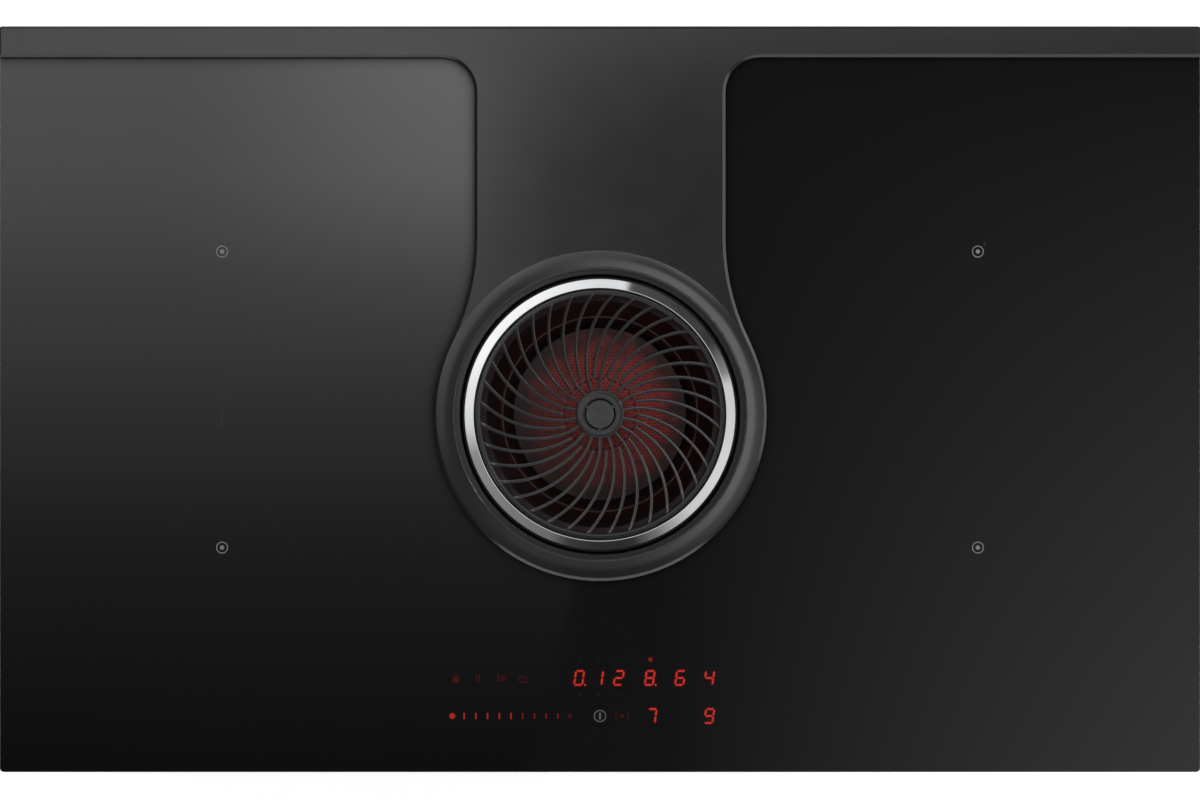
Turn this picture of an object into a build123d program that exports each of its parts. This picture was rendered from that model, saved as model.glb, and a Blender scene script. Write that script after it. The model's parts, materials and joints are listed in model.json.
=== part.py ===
"""A downdraft induction cooktop, as it comes apart on a bench.

+X points to the user's right, +Y to the wall behind and +Z up. The origin is the
centre of the footprint, level with the underside of the case. Sizes are in mm.
"""

import os
from math import acos, atan2, cos, degrees, radians, sin, sqrt

from build123d import *

# Whole cooktop
plate_width = 830.0
plate_depth = 515.0
plate_corner = 3.0
body_depth = 212.0  # underside of the case up to the worktop
glass_t = 4.0
glass_bevel = 0.3
seal_t = 1.5
seal_width = 10.0
seal_inset = 2.0
loose = 0.3  # gap left between a moving piece and what it passes
slack = 0.5  # gap left between fixed round pieces
cut = 1.0  # how far a cutter runs past the face it opens

# Raised frame: a bar along the back, a tongue, and a collar round the intake
frame_t = 5.0
frame_bevel = 2.0  # how far the bevelled edge reaches in
frame_bevel_drop = 1.2
bar_depth = 21.3
bar_corner_r = 24.0
tongue_half = 86.5
blend_r = 160.0  # the hollow curve from the tongue into the collar
collar_width = 18.0
suction_y = -10.2  # the intake's axis, measured from the middle of the plate
bore_r = 97.0
crest_step = 4.7  # from the bore out to the crest's outer side
crest_width = 1.4
crest_round = 0.5  # the height of the crest's round top
crest_rise = 3.5  # the collar's crest above the rest of the frame
slope_sag = 0.4  # how hollow the collar's slope is
foot_inset = 2.0  # where the collar's slope runs out, inside its outer edge
sleeve_t = 2.0
sleeve_length = 11.0
ledge_t = 2.5
ledge_width = 4.0
nut_t = 5.5
nut_width = 10.95
nut_gap = 0.05
nut_notches = 8
nut_notch = 7.3
gasket_t = 1.0

# Intake cup
cup_flange_t = 2.5
cup_lip_t = 2.6
cup_lip_gap = 0.4  # between the lip and the track round it
cup_lip_low = 2.0  # the lip's top below the glass
cup_wall_t = 2.5
cup_step_t = 5.0
cup_step_low = 20.0
filter_seat_low = 14.0
filter_seat_width = 3.5
cup_length = 80.0
light_t = 3.0
light_height = 4.0
light_low = 12.0

# Turning ring
track_t = 3.5
track_step = 0.4  # the track's inner edge inside the ring's
knob_side_gap = 0.6
knob_width = 10.0
knob_gap = 0.2  # running gap over the track
knob_step = 4.0  # the seat of the bright trim, above the glass
knob_shoulder = 1.8
knob_shoulder_top = 5.2
knob_skirt_top = 1.5
trim_inset = 2.9
trim_width = 6.4
trim_inner_top = 8.0
trim_outer_top = 6.7
trim_edge = 0.3
magnet_count = 12
magnet_r = 1.8
magnet_t = 1.6
magnet_gap = 0.1
sensor_board_t = 1.6
sensor_board_width = 3.8
sensor_board_sweep = 140.0
sensor_chip = 2.4
sensor_chip_t = 1.0
sensor_count = 3
sensor_spread = 70.0  # between the two outer sensors, as an angle

# Lift-out grille
grille_gap = 0.6
grille_rim_width = 4.3
grille_rim_top = 6.0
grille_round = 1.0
rib_count = 18  # long ribs; as many short ones lie between them
rib_t = 2.2
rib_height = 6.0
rib_rim_top = 4.6
rib_hub_top = -5.0
rib_waist_share = 0.34  # the share of the rise that is reached halfway out
rib_short_r = 25.0
rib_twist = 0.3663  # degrees of swirl per mm outside rib_short_r
rib_twist_growth = 0.00147
rib_stations = 7
hub_r = 16.8
hub_top = -3.6
hub_t = 8.0
cap_r = 9.8
cap_t = 2.0
cap_gap = 0.15  # the cap's top below the hub's
cap_groove = 1.3  # the open ring round the cap
cap_lugs = 3  # they bridge the groove and hold the cap in the middle
cap_lug_turn = 30.0
cap_lug_width = 1.8
cap_fit = 0.1

# Lift-out filter
filter_rim_t = 2.0
filter_rim_width = 3.5
filter_neck_gap = 1.9
filter_slope_width = 16.6
filter_depth = 31.0
filter_wall_t = 1.5
filter_bead_step = 8.0
filter_bead_t = 1.2
mesh_t = 1.2
mesh_inset = 0.5
mesh_hole_r = 1.7
mesh_small_hole_r = 1.2
mesh_small_ring_r = 25.0
mesh_small_count = 36
mesh_ring_gap = 6.0
mesh_count_step = 6  # how many more holes each ring has than the one inside it
mesh_margin = 5.0
mesh_seat_width = 3.5

# Induction tray under the glass
tray_inset_x = 30.0
tray_inset_y = 21.5
tray_height = 50.0
sheet_t = 1.2
tray_corner = 5.0
tray_hole_gap = 2.0
keepout = 22.4  # room kept round the collar by the coils
coil_gap = 8.6
coil_margin = 17.85
coil_inner_r = 28.0
coil_t = 4.4
mica_t = 0.6
carrier_t = 4.0
carrier_inset = 1.0
winding_inset = 3.0
ferrite_count = 8
ferrite_length = 58.0
ferrite_width = 14.0
ferrite_t = 3.0
ferrite_start_r = 24.0
pad_r = 6.0
pad_bore_r = 3.0
pad_height = 9.5
pad_ring_r = 45.0
pad_count = 4
sensor_r = 6.0
sensor_hole_r = 12.0
support_t = 1.5
support_edge = 13.0
post_r = 4.0

# Boards, heatsinks and cooling fans
board_t = 1.6
board_lift = 7.3
board_edge_x = 16.0
board_edge_front = 20.0
board_edge_rear = 56.0
standoff_r = 3.0
heatsink_width = 60.0
heatsink_length = 120.0
heatsink_base = 4.0
heatsink_height = 16.0
fin_t = 2.0
fin_count = 8
capacitor_r = 9.0
capacitor_height = 16.0
capacitor_count = 4
capacitor_pitch = 23.4
fan_size = 60.0
fan_height = 15.0
fan_bore_r = 28.5
fan_blade_r = 27.0
fan_hub_r = 12.0
fan_struts = 3
fan_strut_turn = 30.0
fan_pin_r = 1.5
fan_pin_gap = 0.1
fan_floor_t = 1.5
fan_blades = 7
fan_blade_t = 1.2
fan_blade_pitch = 40.0
fan_vane_share = 0.8  # of the rotor's height
fan_edge = 10.0
vent_width = 6.0
vent_length = 46.0
vent_count = 4
vent_pitch = 11.0
wall_vent_width = 4.0
wall_vent_height = 22.0
wall_vent_count = 14
wall_vent_pitch = 9.0

# Touch panel and mains terminals
panel_left = -115.0
panel_right = 95.0
panel_depth = 62.0
panel_edge = 4.0
display_height = 7.0
display_gap = 0.4
digit_depth = 14.0
rear_displays = [(-104.0, -48.0), (-20.0, 20.0), (30.0, 84.0)]  # left and right ends
front_displays = [(-108.0, -20.0), (-8.0, 8.0), (30.0, 84.0)]
terminal_width = 50.0
terminal_depth = 28.0
terminal_height = 20.0
terminal_x = -130.0
terminal_poles = 5
terminal_well_r = 3.3
terminal_well = 10.0
gland_x = -84.0
gland_bore_r = 6.5
gland_r = 10.0
gland_nut_r = 14.0
gland_nut_t = 5.0
gland_length = 18.0

# Case and blower
case_width = 440.0
case_front_margin = 36.0
case_rear_margin = 46.0
case_flange = 12.0
cover_t = 2.0
cover_lip = 12.0
cover_lip_end = 40.0
screw_r = 2.0
screw_gap = 0.05
screw_head_r = 3.8
screw_head_t = 2.4
screw_length = 8.0
screw_recess = 3.8
screw_recess_t = 0.9
screw_recess_depth = 1.2
bead_width = 12.0  # pressed beads that stiffen the sheets
bead_rise = 1.5
bead_round = 0.7
wall_bead_length = 250.0
wall_bead_levels = (50.0, 90.0, 130.0)
front_bead_length = 300.0
front_bead_levels = (60.0, 110.0)
rear_bead_length = 120.0
rear_bead_x = -125.0
cover_bead_length = 270.0
cover_bead_places = (135.0, 170.0)
cover_cross_bead_length = 130.0
cover_cross_bead_places = (75.0, 105.0, 135.0)
impeller_r = 97.0
blade_length = 19.0
blade_count = 36
blade_t = 1.4
blade_bow = 3.5
impeller_lift = 10.0  # the wheel above the scroll's floor
impeller_height = 87.0
impeller_plate_t = 2.5
impeller_ring_width = 8.0
impeller_ring_t = 3.0
bell_r = 48.0
bell_rise = 35.0
boss_r = 10.0
boss_length = 10.0
shaft_r = 4.0
shaft_gap = 0.1
shaft_lift = 8.0
motor_r = 40.0
motor_foot_r = 48.0
motor_foot_t = 3.0
motor_height = 36.0
volute_gap = 11.0
volute_step = 14.0
volute_height = 112.0
volute_wall = 2.5
volute_floor_t = 2.0
cutoff_x = 45.0
mouth_y = 140.0  # the scroll's mouth behind the intake's axis
throat_step = 4.0  # the throat's edge inside the blades
throat_t = 2.5
throat_dip = 22.0
inlet_collar_t = 2.5
inlet_collar_height = 20.0
inlet_gap = 0.4
mount_r = 6.0
mount_x = 100.0
mount_front_y = -80.0
mount_rear_y = 45.0
drain_x = 62.0
drain_y = -82.0
drain_r = 4.0
drain_wall = 2.0
spigot_width = 218.0
spigot_height = 85.0
spigot_x = 90.0
spigot_z = 72.0
spigot_length = 50.0
spigot_wall = 2.0
spigot_corner = 6.0
spigot_flange = 9.0
spigot_flange_t = 2.0
flap_t = 2.0
flap_y = 13.0  # the flaps' plane behind the case
flap_gap = 0.8
flap_pin_r = 1.5
flap_pin_gap = 0.1
flap_top = 1.5
flap_drop = 3.5
stop_t = 3.0
stop_gap = 0.5

# Drip tray
drip_half = 90.0
drip_length = 170.0
drip_top = 13.0
drip_wall = 1.5
drip_face_t = 2.2
drip_face_overlap = 2.0
drip_pull = 50.0
drip_pull_depth = 8.0
drip_pull_t = 2.0
runner_t = 2.4
runner_lip = 4.6
runner_lip_t = 1.5

# Side springs in the worktop's cut-out
spring_width = 22.0
spring_t = 0.8
spring_bow = 4.5
spring_length = 34.0
spring_y = 150.0
spring_low = 8.0

# What follows from the sizes above
half_width = plate_width / 2
half_depth = plate_depth / 2
glass_low = body_depth + seal_t
glass_up = glass_low + glass_t
crest_r = bore_r + crest_step
collar_r = bore_r + collar_width
sleeve_r = bore_r + sleeve_t
glass_hole_r = sleeve_r + slack
nut_up = glass_low - gasket_t
ledge_up = glass_up - sleeve_length + ledge_t
flange_up = ledge_up + cup_flange_t
track_up = flange_up + track_t
knob_low = track_up + knob_gap
knob_outer_r = bore_r - knob_side_gap
knob_inner_r = knob_outer_r - knob_width
knob_shoulder_r = knob_outer_r - knob_shoulder
trim_outer_r = knob_outer_r - trim_inset
trim_inner_r = trim_outer_r - trim_width
track_inner_r = knob_inner_r - track_step
magnet_ring_r = (knob_inner_r + knob_outer_r) / 2
cup_lip_r = track_inner_r - cup_lip_gap - cup_lip_t
cup_throat_r = cup_lip_r - filter_seat_width
cup_wall_r = cup_throat_r + cup_wall_t
cup_step_r = cup_lip_r + cup_step_t
grille_rim_r = knob_inner_r - grille_gap
grille_rim_inner_r = grille_rim_r - grille_rim_width
rib_end_r = (grille_rim_inner_r + grille_rim_r) / 2
filter_rim_r = cup_lip_r - slack
filter_rim_inner_r = filter_rim_r - filter_rim_width
filter_neck_r = cup_throat_r - filter_neck_gap
filter_floor_r = filter_neck_r - filter_slope_width
filter_bead_r = filter_floor_r + filter_bead_step

tray_x = half_width - tray_inset_x
tray_y = half_depth - tray_inset_y
tray_low = glass_low - tray_height
tray_floor = tray_low + sheet_t
centre_half = collar_r + keepout
zone_x = (tray_x + centre_half) / 2
bay_half = min(tray_x - centre_half, tray_y - coil_gap / 2) / 2
coil_r = bay_half - coil_margin
zone_y = coil_r + coil_gap / 2
coil_up = glass_low - mica_t
coil_low = coil_up - coil_t
carrier_low = coil_low - carrier_t
support_up = carrier_low - pad_height
support_low = support_up - support_t
support_in = zone_x - coil_r - carrier_inset
support_out = min(zone_x + coil_r + support_edge, tray_x - sheet_t - post_r)
support_y = zone_y + coil_r + post_r
board_low = tray_floor + board_lift
board_up = board_low + board_t
board_in = support_in + board_edge_x
board_out = support_out - board_edge_x
board_front = -support_y + board_edge_front
board_rear = support_y - board_edge_rear
fan_y = tray_y - sheet_t - fan_edge - fan_size / 2
flange_screw_x = (case_width + case_flange) / 2
fan_x = max(zone_x, flange_screw_x + screw_head_r + fan_size / 2)
panel_front = -tray_y + panel_edge
panel_rear = panel_front + panel_depth
display_up = glass_low - display_gap
panel_up = display_up - display_height
panel_low = panel_up - board_t
terminal_y = tray_y - sheet_t - panel_edge - terminal_depth / 2

case_half = case_width / 2
case_front = -tray_y + case_front_margin
case_rear = tray_y - case_rear_margin
flange_low = tray_low - sheet_t
gland_y = (case_rear + case_flange + tray_y) / 2
cover_screw_z = cover_t + cover_lip / 2
drip_low = cover_t + loose
runner_up = drip_top + loose + runner_lip_t
volute_low = runner_up + loose
volute_floor = volute_low + volute_floor_t
volute_up = volute_floor + volute_height
impeller_low = volute_floor + impeller_lift
blade_inner_r = impeller_r - blade_length
throat_r = min(blade_inner_r, cup_wall_r) - throat_step
bell_top = impeller_low + bell_rise
shaft_low = volute_floor + shaft_lift
volute_first_r = impeller_r + volute_gap
volute_right = volute_step / 2 + volute_first_r + 3 * volute_step
mouth = suction_y + mouth_y
duct_half = spigot_width / 2 - spigot_wall
duct_half_z = spigot_height / 2 - spigot_wall
flap_plane = case_rear + flap_y
runner_x = drip_half + loose + runner_t


def disc(radius, low, high, x=0.0, y=0.0):
    """A round plate or bar standing on the level low."""
    return Pos(x, y, (low + high) / 2) * Cylinder(radius, high - low)


def ring(outer, inner, low, high, x=0.0, y=0.0):
    return disc(outer, low, high, x, y) - disc(inner, low - cut, high + cut, x, y)


def block(left, right, front, rear, low, high):
    middle = Pos((left + right) / 2, (front + rear) / 2, (low + high) / 2)
    return middle * Box(right - left, rear - front, high - low)


def rounded_block(left, right, front, rear, low, high, corner):
    body = block(left, right, front, rear, low, high)
    return fillet(body.edges().filter_by(Axis.Z), corner)


def turned(points, x=0.0, y=suction_y):
    """Turns a closed outline of (radius, height) points about an upright axis."""
    outline = make_face(Polyline(*[(r, 0, z) for r, z in points], close=True))
    return Pos(x, y, 0) * revolve(outline, Axis.Z)


def around(count, radius, x=0.0, y=suction_y, first=0.0, sweep=360.0):
    """Places evenly spaced on a circle, each turned to face outwards."""
    for index in range(count):
        angle = first + sweep * index / count
        yield Pos(x, y, 0) * Rot(0, 0, angle) * Pos(radius, 0, 0)


def together(pieces):
    """Separate solids that share one node."""
    return Compound([solid for piece in pieces for solid in piece.solids()])


def zone_places():
    return [(side * zone_x, end * zone_y) for side in (-1, 1) for end in (1, -1)]


# Screws: each place is under the head, with its own +Z along the screw
def flange_screw_places():
    side = flange_screw_x
    rear = case_rear + case_flange / 2
    front = case_front - case_flange / 2
    middle = (case_front + case_rear) / 2
    spots = [(x, y) for x in (-side, side) for y in (case_front, middle, case_rear)]
    spots += [(x, y) for x in (-case_half / 2, case_half / 2) for y in (front, rear)]
    return [Pos(x, y, flange_low) for x, y in spots]


def cover_screw_places():
    middle = (case_front + case_rear) / 2
    reach = (case_rear - case_front) / 2 - 2 * cover_lip_end
    spots = []
    for y in (middle - reach, middle, middle + reach):
        spots.append(Pos(case_half, y, cover_screw_z) * Rot(0, -90, 0))
        spots.append(Pos(-case_half, y, cover_screw_z) * Rot(0, 90, 0))
    return spots


def spigot_screw_places():
    out_x = spigot_width / 2 + spigot_flange / 2
    out_z = spigot_height / 2 + spigot_flange / 2
    face = case_rear + spigot_flange_t
    spots = [(x, z) for x in (-out_x, out_x) for z in (-out_z, out_z)]
    spots += [(0, -out_z), (0, out_z)]
    return [Pos(spigot_x + x, face, spigot_z + z) * Rot(90, 0, 0) for x, z in spots]


def screw_places():
    return flange_screw_places() + cover_screw_places() + spigot_screw_places()


def make_case_screws():
    shank = disc(screw_r, 0, screw_length)
    head = fillet(
        disc(screw_head_r, -screw_head_t, 0).edges().group_by(Axis.Z)[0], screw_head_t / 2
    )
    slot = Box(screw_recess, screw_recess_t, 2 * screw_recess_depth)
    recess = Pos(0, 0, -screw_head_t) * (slot + Rot(0, 0, 90) * slot)
    screw = head + shank - recess
    return together([place * screw for place in screw_places()])


def beaded(sheet, thickness, length, places):
    """Presses a bead at each place: a ridge on its +Z side and a hollow behind it."""
    ridge = extrude(SlotOverall(length, bead_width), bead_rise)
    ridge = fillet(ridge.edges().group_by(Axis.Z)[-1], bead_round)
    room = SlotOverall(length - 2 * thickness, bead_width - 2 * thickness)
    hollow = Pos(0, 0, -thickness - cut) * extrude(room, bead_rise + cut)
    ridges = [place * ridge for place in places]
    return sheet + ridges - [place * hollow for place in places]


def drilled(body, places):
    hole = disc(screw_r + screw_gap, -cut, screw_length + cut)
    return body - [place * hole for place in places]


# Glass, seal and frame
def make_glass_top():
    plate = rounded_block(
        -half_width, half_width, -half_depth, half_depth, glass_low, glass_up, plate_corner
    )
    plate = chamfer(plate.edges().group_by(Axis.Z)[-1], glass_bevel)
    return plate - disc(glass_hole_r, glass_low - cut, glass_up + cut, y=suction_y)


def make_worktop_seal():
    x = half_width - seal_inset
    y = half_depth - seal_inset
    strip = rounded_block(-x, x, -y, y, body_depth, glass_low, plate_corner)
    inner_x = x - seal_width
    inner_y = y - seal_width
    return strip - block(
        -inner_x, inner_x, -inner_y, inner_y, body_depth - cut, glass_low + cut
    )


def frame_outline():
    """Bar, tongue and collar seen from above, as lines and tangent arcs."""
    bar_front = half_depth - bar_depth
    corner_x = tongue_half + bar_corner_r
    corner_y = bar_front - bar_corner_r
    blend_x = tongue_half + blend_r
    blend_rise = sqrt((collar_r + blend_r) ** 2 - blend_x**2)
    blend_y = suction_y + blend_rise
    touch = degrees(atan2(blend_rise, blend_x))
    right = [
        Line((0, half_depth), (half_width, half_depth)),
        Line((half_width, half_depth), (half_width, bar_front)),
        Line((half_width, bar_front), (corner_x, bar_front)),
        CenterArc((corner_x, corner_y), bar_corner_r, 90, 90),
        Line((tongue_half, corner_y), (tongue_half, blend_y)),
        CenterArc((blend_x, blend_y), blend_r, 180, touch),
        CenterArc((0, suction_y), collar_r, -90, 90 + touch),
    ]
    left = [edge.mirror(Plane.YZ) for edge in right]
    return make_face([edge for line in right + left for edge in line.edges()])


def collar_slope():
    """The collar's ring: a flat step inside, a round crest, a hollow slope outside."""
    foot_r = collar_r - foot_inset
    low = glass_up
    level = glass_up + frame_t
    top = level + crest_rise
    shoulder = top - crest_round
    inner_crest = crest_r - crest_width
    middle = Vector((crest_r + foot_r) / 2, (shoulder + level) / 2 - slope_sag)
    outline = [
        Line((bore_r, low), (bore_r, level)),
        Line((bore_r, level), (inner_crest, level)),
        Line((inner_crest, level), (inner_crest, shoulder)),
        ThreePointArc(
            (inner_crest, shoulder), (crest_r - crest_width / 2, top), (crest_r, shoulder)
        ),
        ThreePointArc((crest_r, shoulder), middle, (foot_r, level)),
        Line((foot_r, level), (foot_r, low)),
        Line((foot_r, low), (bore_r, low)),
    ]
    face = make_face([edge for line in outline for edge in line.edges()])
    return Pos(0, suction_y, 0) * revolve(Rot(90, 0, 0) * face, Axis.Z)


def make_trim_frame():
    level = glass_up + frame_t
    slab = Pos(0, 0, glass_up) * extrude(frame_outline(), frame_t)
    corners = slab.edges().filter_by(Axis.Z).group_by(Axis.Y)[-1]
    slab = fillet(corners, plate_corner)
    top = slab.faces().sort_by(Axis.Z)[-1]
    slab = chamfer(top.edges(), frame_bevel, frame_bevel_drop, reference=top)
    slab -= disc(bore_r, glass_up - cut, level + cut, y=suction_y)
    sleeve = ring(sleeve_r, bore_r, glass_up - sleeve_length, glass_up, y=suction_y)
    ledge = ring(
        bore_r, bore_r - ledge_width, ledge_up - ledge_t, ledge_up, y=suction_y
    )
    return slab + collar_slope() + sleeve + ledge


def make_collar_gasket():
    inner = sleeve_r + slack
    return ring(sleeve_r + nut_width, inner, nut_up, glass_low, y=suction_y)


def make_collar_nut():
    outer = sleeve_r + nut_width
    nut = ring(outer, sleeve_r + nut_gap, nut_up - nut_t, nut_up, y=suction_y)
    notch = Box(nut_notch, nut_notch, nut_t + 2 * cut)
    lift = Pos(0, 0, nut_up - nut_t / 2)
    return nut - [lift * place * notch for place in around(nut_notches, outer)]


# Intake cup and the ring that turns on it
def make_intake_cup():
    lip_up = glass_up - cup_lip_low
    lip_out = cup_lip_r + cup_lip_t
    flange_r = bore_r - slack
    seat = glass_up - filter_seat_low
    groove_low = glass_up - light_low
    groove_up = groove_low + light_height
    step = glass_up - cup_step_low
    bottom = glass_up - cup_length
    return turned(
        [
            (cup_lip_r, lip_up),
            (lip_out, lip_up),
            (lip_out, flange_up),
            (flange_r, flange_up),
            (flange_r, ledge_up),
            (cup_step_r, ledge_up),
            (cup_step_r, step),
            (cup_wall_r, step),
            (cup_wall_r, bottom),
            (cup_throat_r, bottom),
            (cup_throat_r, seat),
            (cup_lip_r, seat),
            (cup_lip_r, groove_low),
            (cup_lip_r + light_t, groove_low),
            (cup_lip_r + light_t, groove_up),
            (cup_lip_r, groove_up),
        ]
    )


def make_light_ring():
    low = glass_up - light_low
    return ring(
        cup_lip_r + light_t, cup_lip_r, low, low + light_height, y=suction_y
    )


def make_knob_track():
    return ring(knob_outer_r, track_inner_r, flange_up, track_up, y=suction_y)


def make_knob_ring():
    body = turned(
        [
            (knob_inner_r, knob_low),
            (knob_outer_r, knob_low),
            (knob_outer_r, glass_up + knob_skirt_top),
            (knob_shoulder_r, glass_up + knob_shoulder_top),
            (trim_outer_r + trim_edge, glass_up + knob_shoulder_top),
            (trim_outer_r + trim_edge, glass_up + knob_step),
            (knob_inner_r, glass_up + knob_step),
        ]
    )
    pocket = disc(
        magnet_r + magnet_gap, knob_low - cut, knob_low + magnet_gap + magnet_t
    )
    return body - [place * pocket for place in around(magnet_count, magnet_ring_r)]


def make_knob_trim():
    seat = glass_up + knob_step
    return turned(
        [
            (trim_inner_r, seat),
            (trim_outer_r, seat),
            (trim_outer_r, glass_up + trim_outer_top - trim_edge),
            (trim_outer_r - trim_edge, glass_up + trim_outer_top),
            (trim_inner_r + trim_edge, glass_up + trim_inner_top),
            (trim_inner_r, glass_up + trim_inner_top - trim_edge),
        ]
    )


def make_knob_magnets():
    low = knob_low + magnet_gap
    magnet = disc(magnet_r, low, low + magnet_t)
    return together([place * magnet for place in around(magnet_count, magnet_ring_r)])


def make_turn_sensor_board():
    """An arc-shaped board under the cup's flange, with three field sensors."""
    inner = cup_step_r + slack
    low = ledge_up - sensor_board_t
    middle = inner + sensor_board_width / 2
    board = Rot(0, 0, -90 - sensor_board_sweep / 2) * revolve(
        make_face(
            Polyline(
                (inner, 0, low),
                (inner + sensor_board_width, 0, low),
                (inner + sensor_board_width, 0, ledge_up),
                (inner, 0, ledge_up),
                close=True,
            )
        ),
        Axis.Z,
        sensor_board_sweep,
    )
    board = Pos(0, suction_y, 0) * board
    chip = Pos(0, 0, low - sensor_chip_t / 2) * Box(sensor_chip, sensor_chip, sensor_chip_t)
    first = -90 - sensor_spread / 2
    sweep = sensor_spread * sensor_count / (sensor_count - 1)
    places = around(sensor_count, middle, first=first, sweep=sweep)
    return board + [place * chip for place in places]


# Grille
def rib_angle(radius):
    """How far a rib has swirled clockwise at this radius, in degrees."""
    run = max(radius - rib_short_r, 0)
    return rib_twist * run + rib_twist_growth * run**2


def rib_side(inner, outer, shift):
    """A curve along one side of a rib, seen from above."""
    points = []
    for index in range(rib_stations):
        radius = inner + (outer - inner) * index / (rib_stations - 1)
        angle = radians(90 - rib_angle(radius))
        centre = Vector(radius * cos(angle), radius * sin(angle))
        ahead = radians(90 - rib_angle(radius + cut))
        step = Vector((radius + cut) * cos(ahead), (radius + cut) * sin(ahead)) - centre
        side = Vector(-step.Y, step.X).normalized()
        points.append(centre + side * shift)
    return Spline(*points)


def rib_face(inner, outer):
    left = rib_side(inner, outer, rib_t / 2)
    right = rib_side(inner, outer, -rib_t / 2)
    tip = (left @ 0 + right @ 0) * 0.5
    inward = Vector(-tip.X, -tip.Y).normalized() * (rib_t / 2)
    start = ThreePointArc(left @ 0, tip + inward, right @ 0)
    end = Line(left @ 1, right @ 1)
    return make_face(
        [edge for line in (left, right, start, end) for edge in line.edges()]
    )


def rib_dish():
    """The dished band that every rib fills, from the hub up to the rim."""
    outer = rib_end_r
    inner = hub_r / 2
    rise = rib_rim_top - rib_hub_top
    waist = (outer + inner) / 2
    waist_top = rib_hub_top + rise * rib_waist_share
    top = ThreePointArc(
        (inner, glass_up + rib_hub_top),
        (waist, glass_up + waist_top),
        (outer, glass_up + rib_rim_top),
    )
    bottom = ThreePointArc(
        (inner, glass_up + rib_hub_top - rib_height),
        (waist, glass_up + waist_top - rib_height),
        (outer, glass_up + rib_rim_top - rib_height),
    )
    inside = Line(top @ 0, bottom @ 0)
    outside = Line(top @ 1, bottom @ 1)
    face = make_face(
        [edge for line in (top, outside, bottom, inside) for edge in line.edges()]
    )
    return revolve(Rot(90, 0, 0) * face, Axis.Z)


def make_grille():
    dish = rib_dish()
    low = glass_up + rib_hub_top - 2 * rib_height
    reach = rib_rim_top - rib_hub_top + 3 * rib_height
    ribs = []
    for inner, turn in ((hub_r / 2, 0.0), (rib_short_r, 180 / rib_count)):
        bar = Pos(0, 0, low) * extrude(rib_face(inner, rib_end_r), reach)
        rib = bar & dish
        ribs += [
            Pos(0, suction_y, 0) * Rot(0, 0, -turn - 360 * index / rib_count) * rib
            for index in range(rib_count)
        ]
    rim_up = glass_up + grille_rim_top
    rim = ring(
        grille_rim_r, grille_rim_inner_r, glass_up - cup_lip_low, rim_up, y=suction_y
    )
    rim = fillet(rim.edges().group_by(Axis.Z)[-1], grille_round)
    hub_up = glass_up + hub_top
    hub = disc(hub_r, hub_up - hub_t, hub_up, y=suction_y)
    hub = fillet(hub.edges().group_by(Axis.Z)[-1], grille_round)
    well = disc(cap_r + cap_groove, hub_up - cap_t, hub_up + cut, y=suction_y)
    return (rim + hub + ribs) - well


def make_hub_cap():
    up = glass_up + hub_top
    low = up - cap_t
    cap = disc(cap_r, low, up - cap_gap, y=suction_y)
    cap = chamfer(cap.edges().group_by(Axis.Z)[-1], cap_gap)
    reach = cap_r + cap_groove - cap_fit
    lug = block(0, reach, -cap_lug_width / 2, cap_lug_width / 2, low, up - 2 * cap_gap)
    return cap + [place * lug for place in around(cap_lugs, 0, first=cap_lug_turn)]


# Filter
def filter_slope(radius):
    """Height of the filter wall's upper side at this radius."""
    seat = glass_up - filter_seat_low
    share = (filter_neck_r - radius) / (filter_neck_r - filter_floor_r)
    return seat - share * filter_depth


def make_filter_bowl():
    seat = glass_up - filter_seat_low
    rim_up = seat + filter_rim_t
    floor = seat - filter_depth
    bead_low = filter_slope(filter_bead_r + filter_bead_t)
    bead_up = filter_slope(filter_bead_r - filter_bead_t)
    return turned(
        [
            (filter_rim_inner_r, rim_up),
            (filter_rim_r, rim_up),
            (filter_rim_r, seat),
            (filter_rim_inner_r, seat),
            (filter_neck_r + filter_wall_t / 2, seat - filter_wall_t),
            (filter_floor_r + filter_wall_t, floor - mesh_t - filter_wall_t),
            (filter_floor_r - mesh_seat_width, floor - mesh_t - filter_wall_t),
            (filter_floor_r - mesh_seat_width, floor - mesh_t),
            (filter_floor_r, floor - mesh_t),
            (filter_floor_r, floor),
            (filter_bead_r - filter_bead_t, bead_up),
            (filter_bead_r - filter_bead_t, bead_up + filter_bead_t),
            (filter_bead_r, bead_up + filter_bead_t),
            (filter_bead_r + filter_bead_t, bead_low),
            (filter_neck_r, seat),
        ]
    )


def make_filter_mesh():
    """A perforated disc: a ring of fine holes and wider rings outside it."""
    floor = glass_up - filter_seat_low - filter_depth
    face = Circle(filter_floor_r - mesh_inset)
    holes = [
        place * Circle(mesh_small_hole_r)
        for place in around(
            mesh_small_count, mesh_small_ring_r, y=0, first=180 / mesh_small_count
        )
    ]
    rings = int((filter_floor_r - mesh_margin - mesh_small_ring_r) / mesh_ring_gap)
    for index in range(rings):
        radius = mesh_small_ring_r + (index + 1) * mesh_ring_gap
        count = mesh_small_count + index * mesh_count_step
        first = 180 / count * (index % 2)
        holes += [
            place * Circle(mesh_hole_r) for place in around(count, radius, y=0, first=first)
        ]
    return Pos(0, suction_y, floor - mesh_t) * extrude(face - holes, mesh_t)


# Induction tray and the coils
def vent_cutter():
    """Parallel slots in the tray's floor."""
    slots = []
    for index in range(vent_count):
        y = (index - (vent_count - 1) / 2) * vent_pitch
        slots.append(
            rounded_block(
                -vent_length / 2,
                vent_length / 2,
                y - vent_width / 2,
                y + vent_width / 2,
                tray_low - cut,
                tray_floor + cut,
                vent_width / 2 - cut / 2,
            )
        )
    return slots


def tray_room(low, high):
    """The room inside the tray's walls."""
    x = tray_x - sheet_t
    y = tray_y - sheet_t
    return rounded_block(-x, x, -y, y, low, high, tray_corner - sheet_t)


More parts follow.
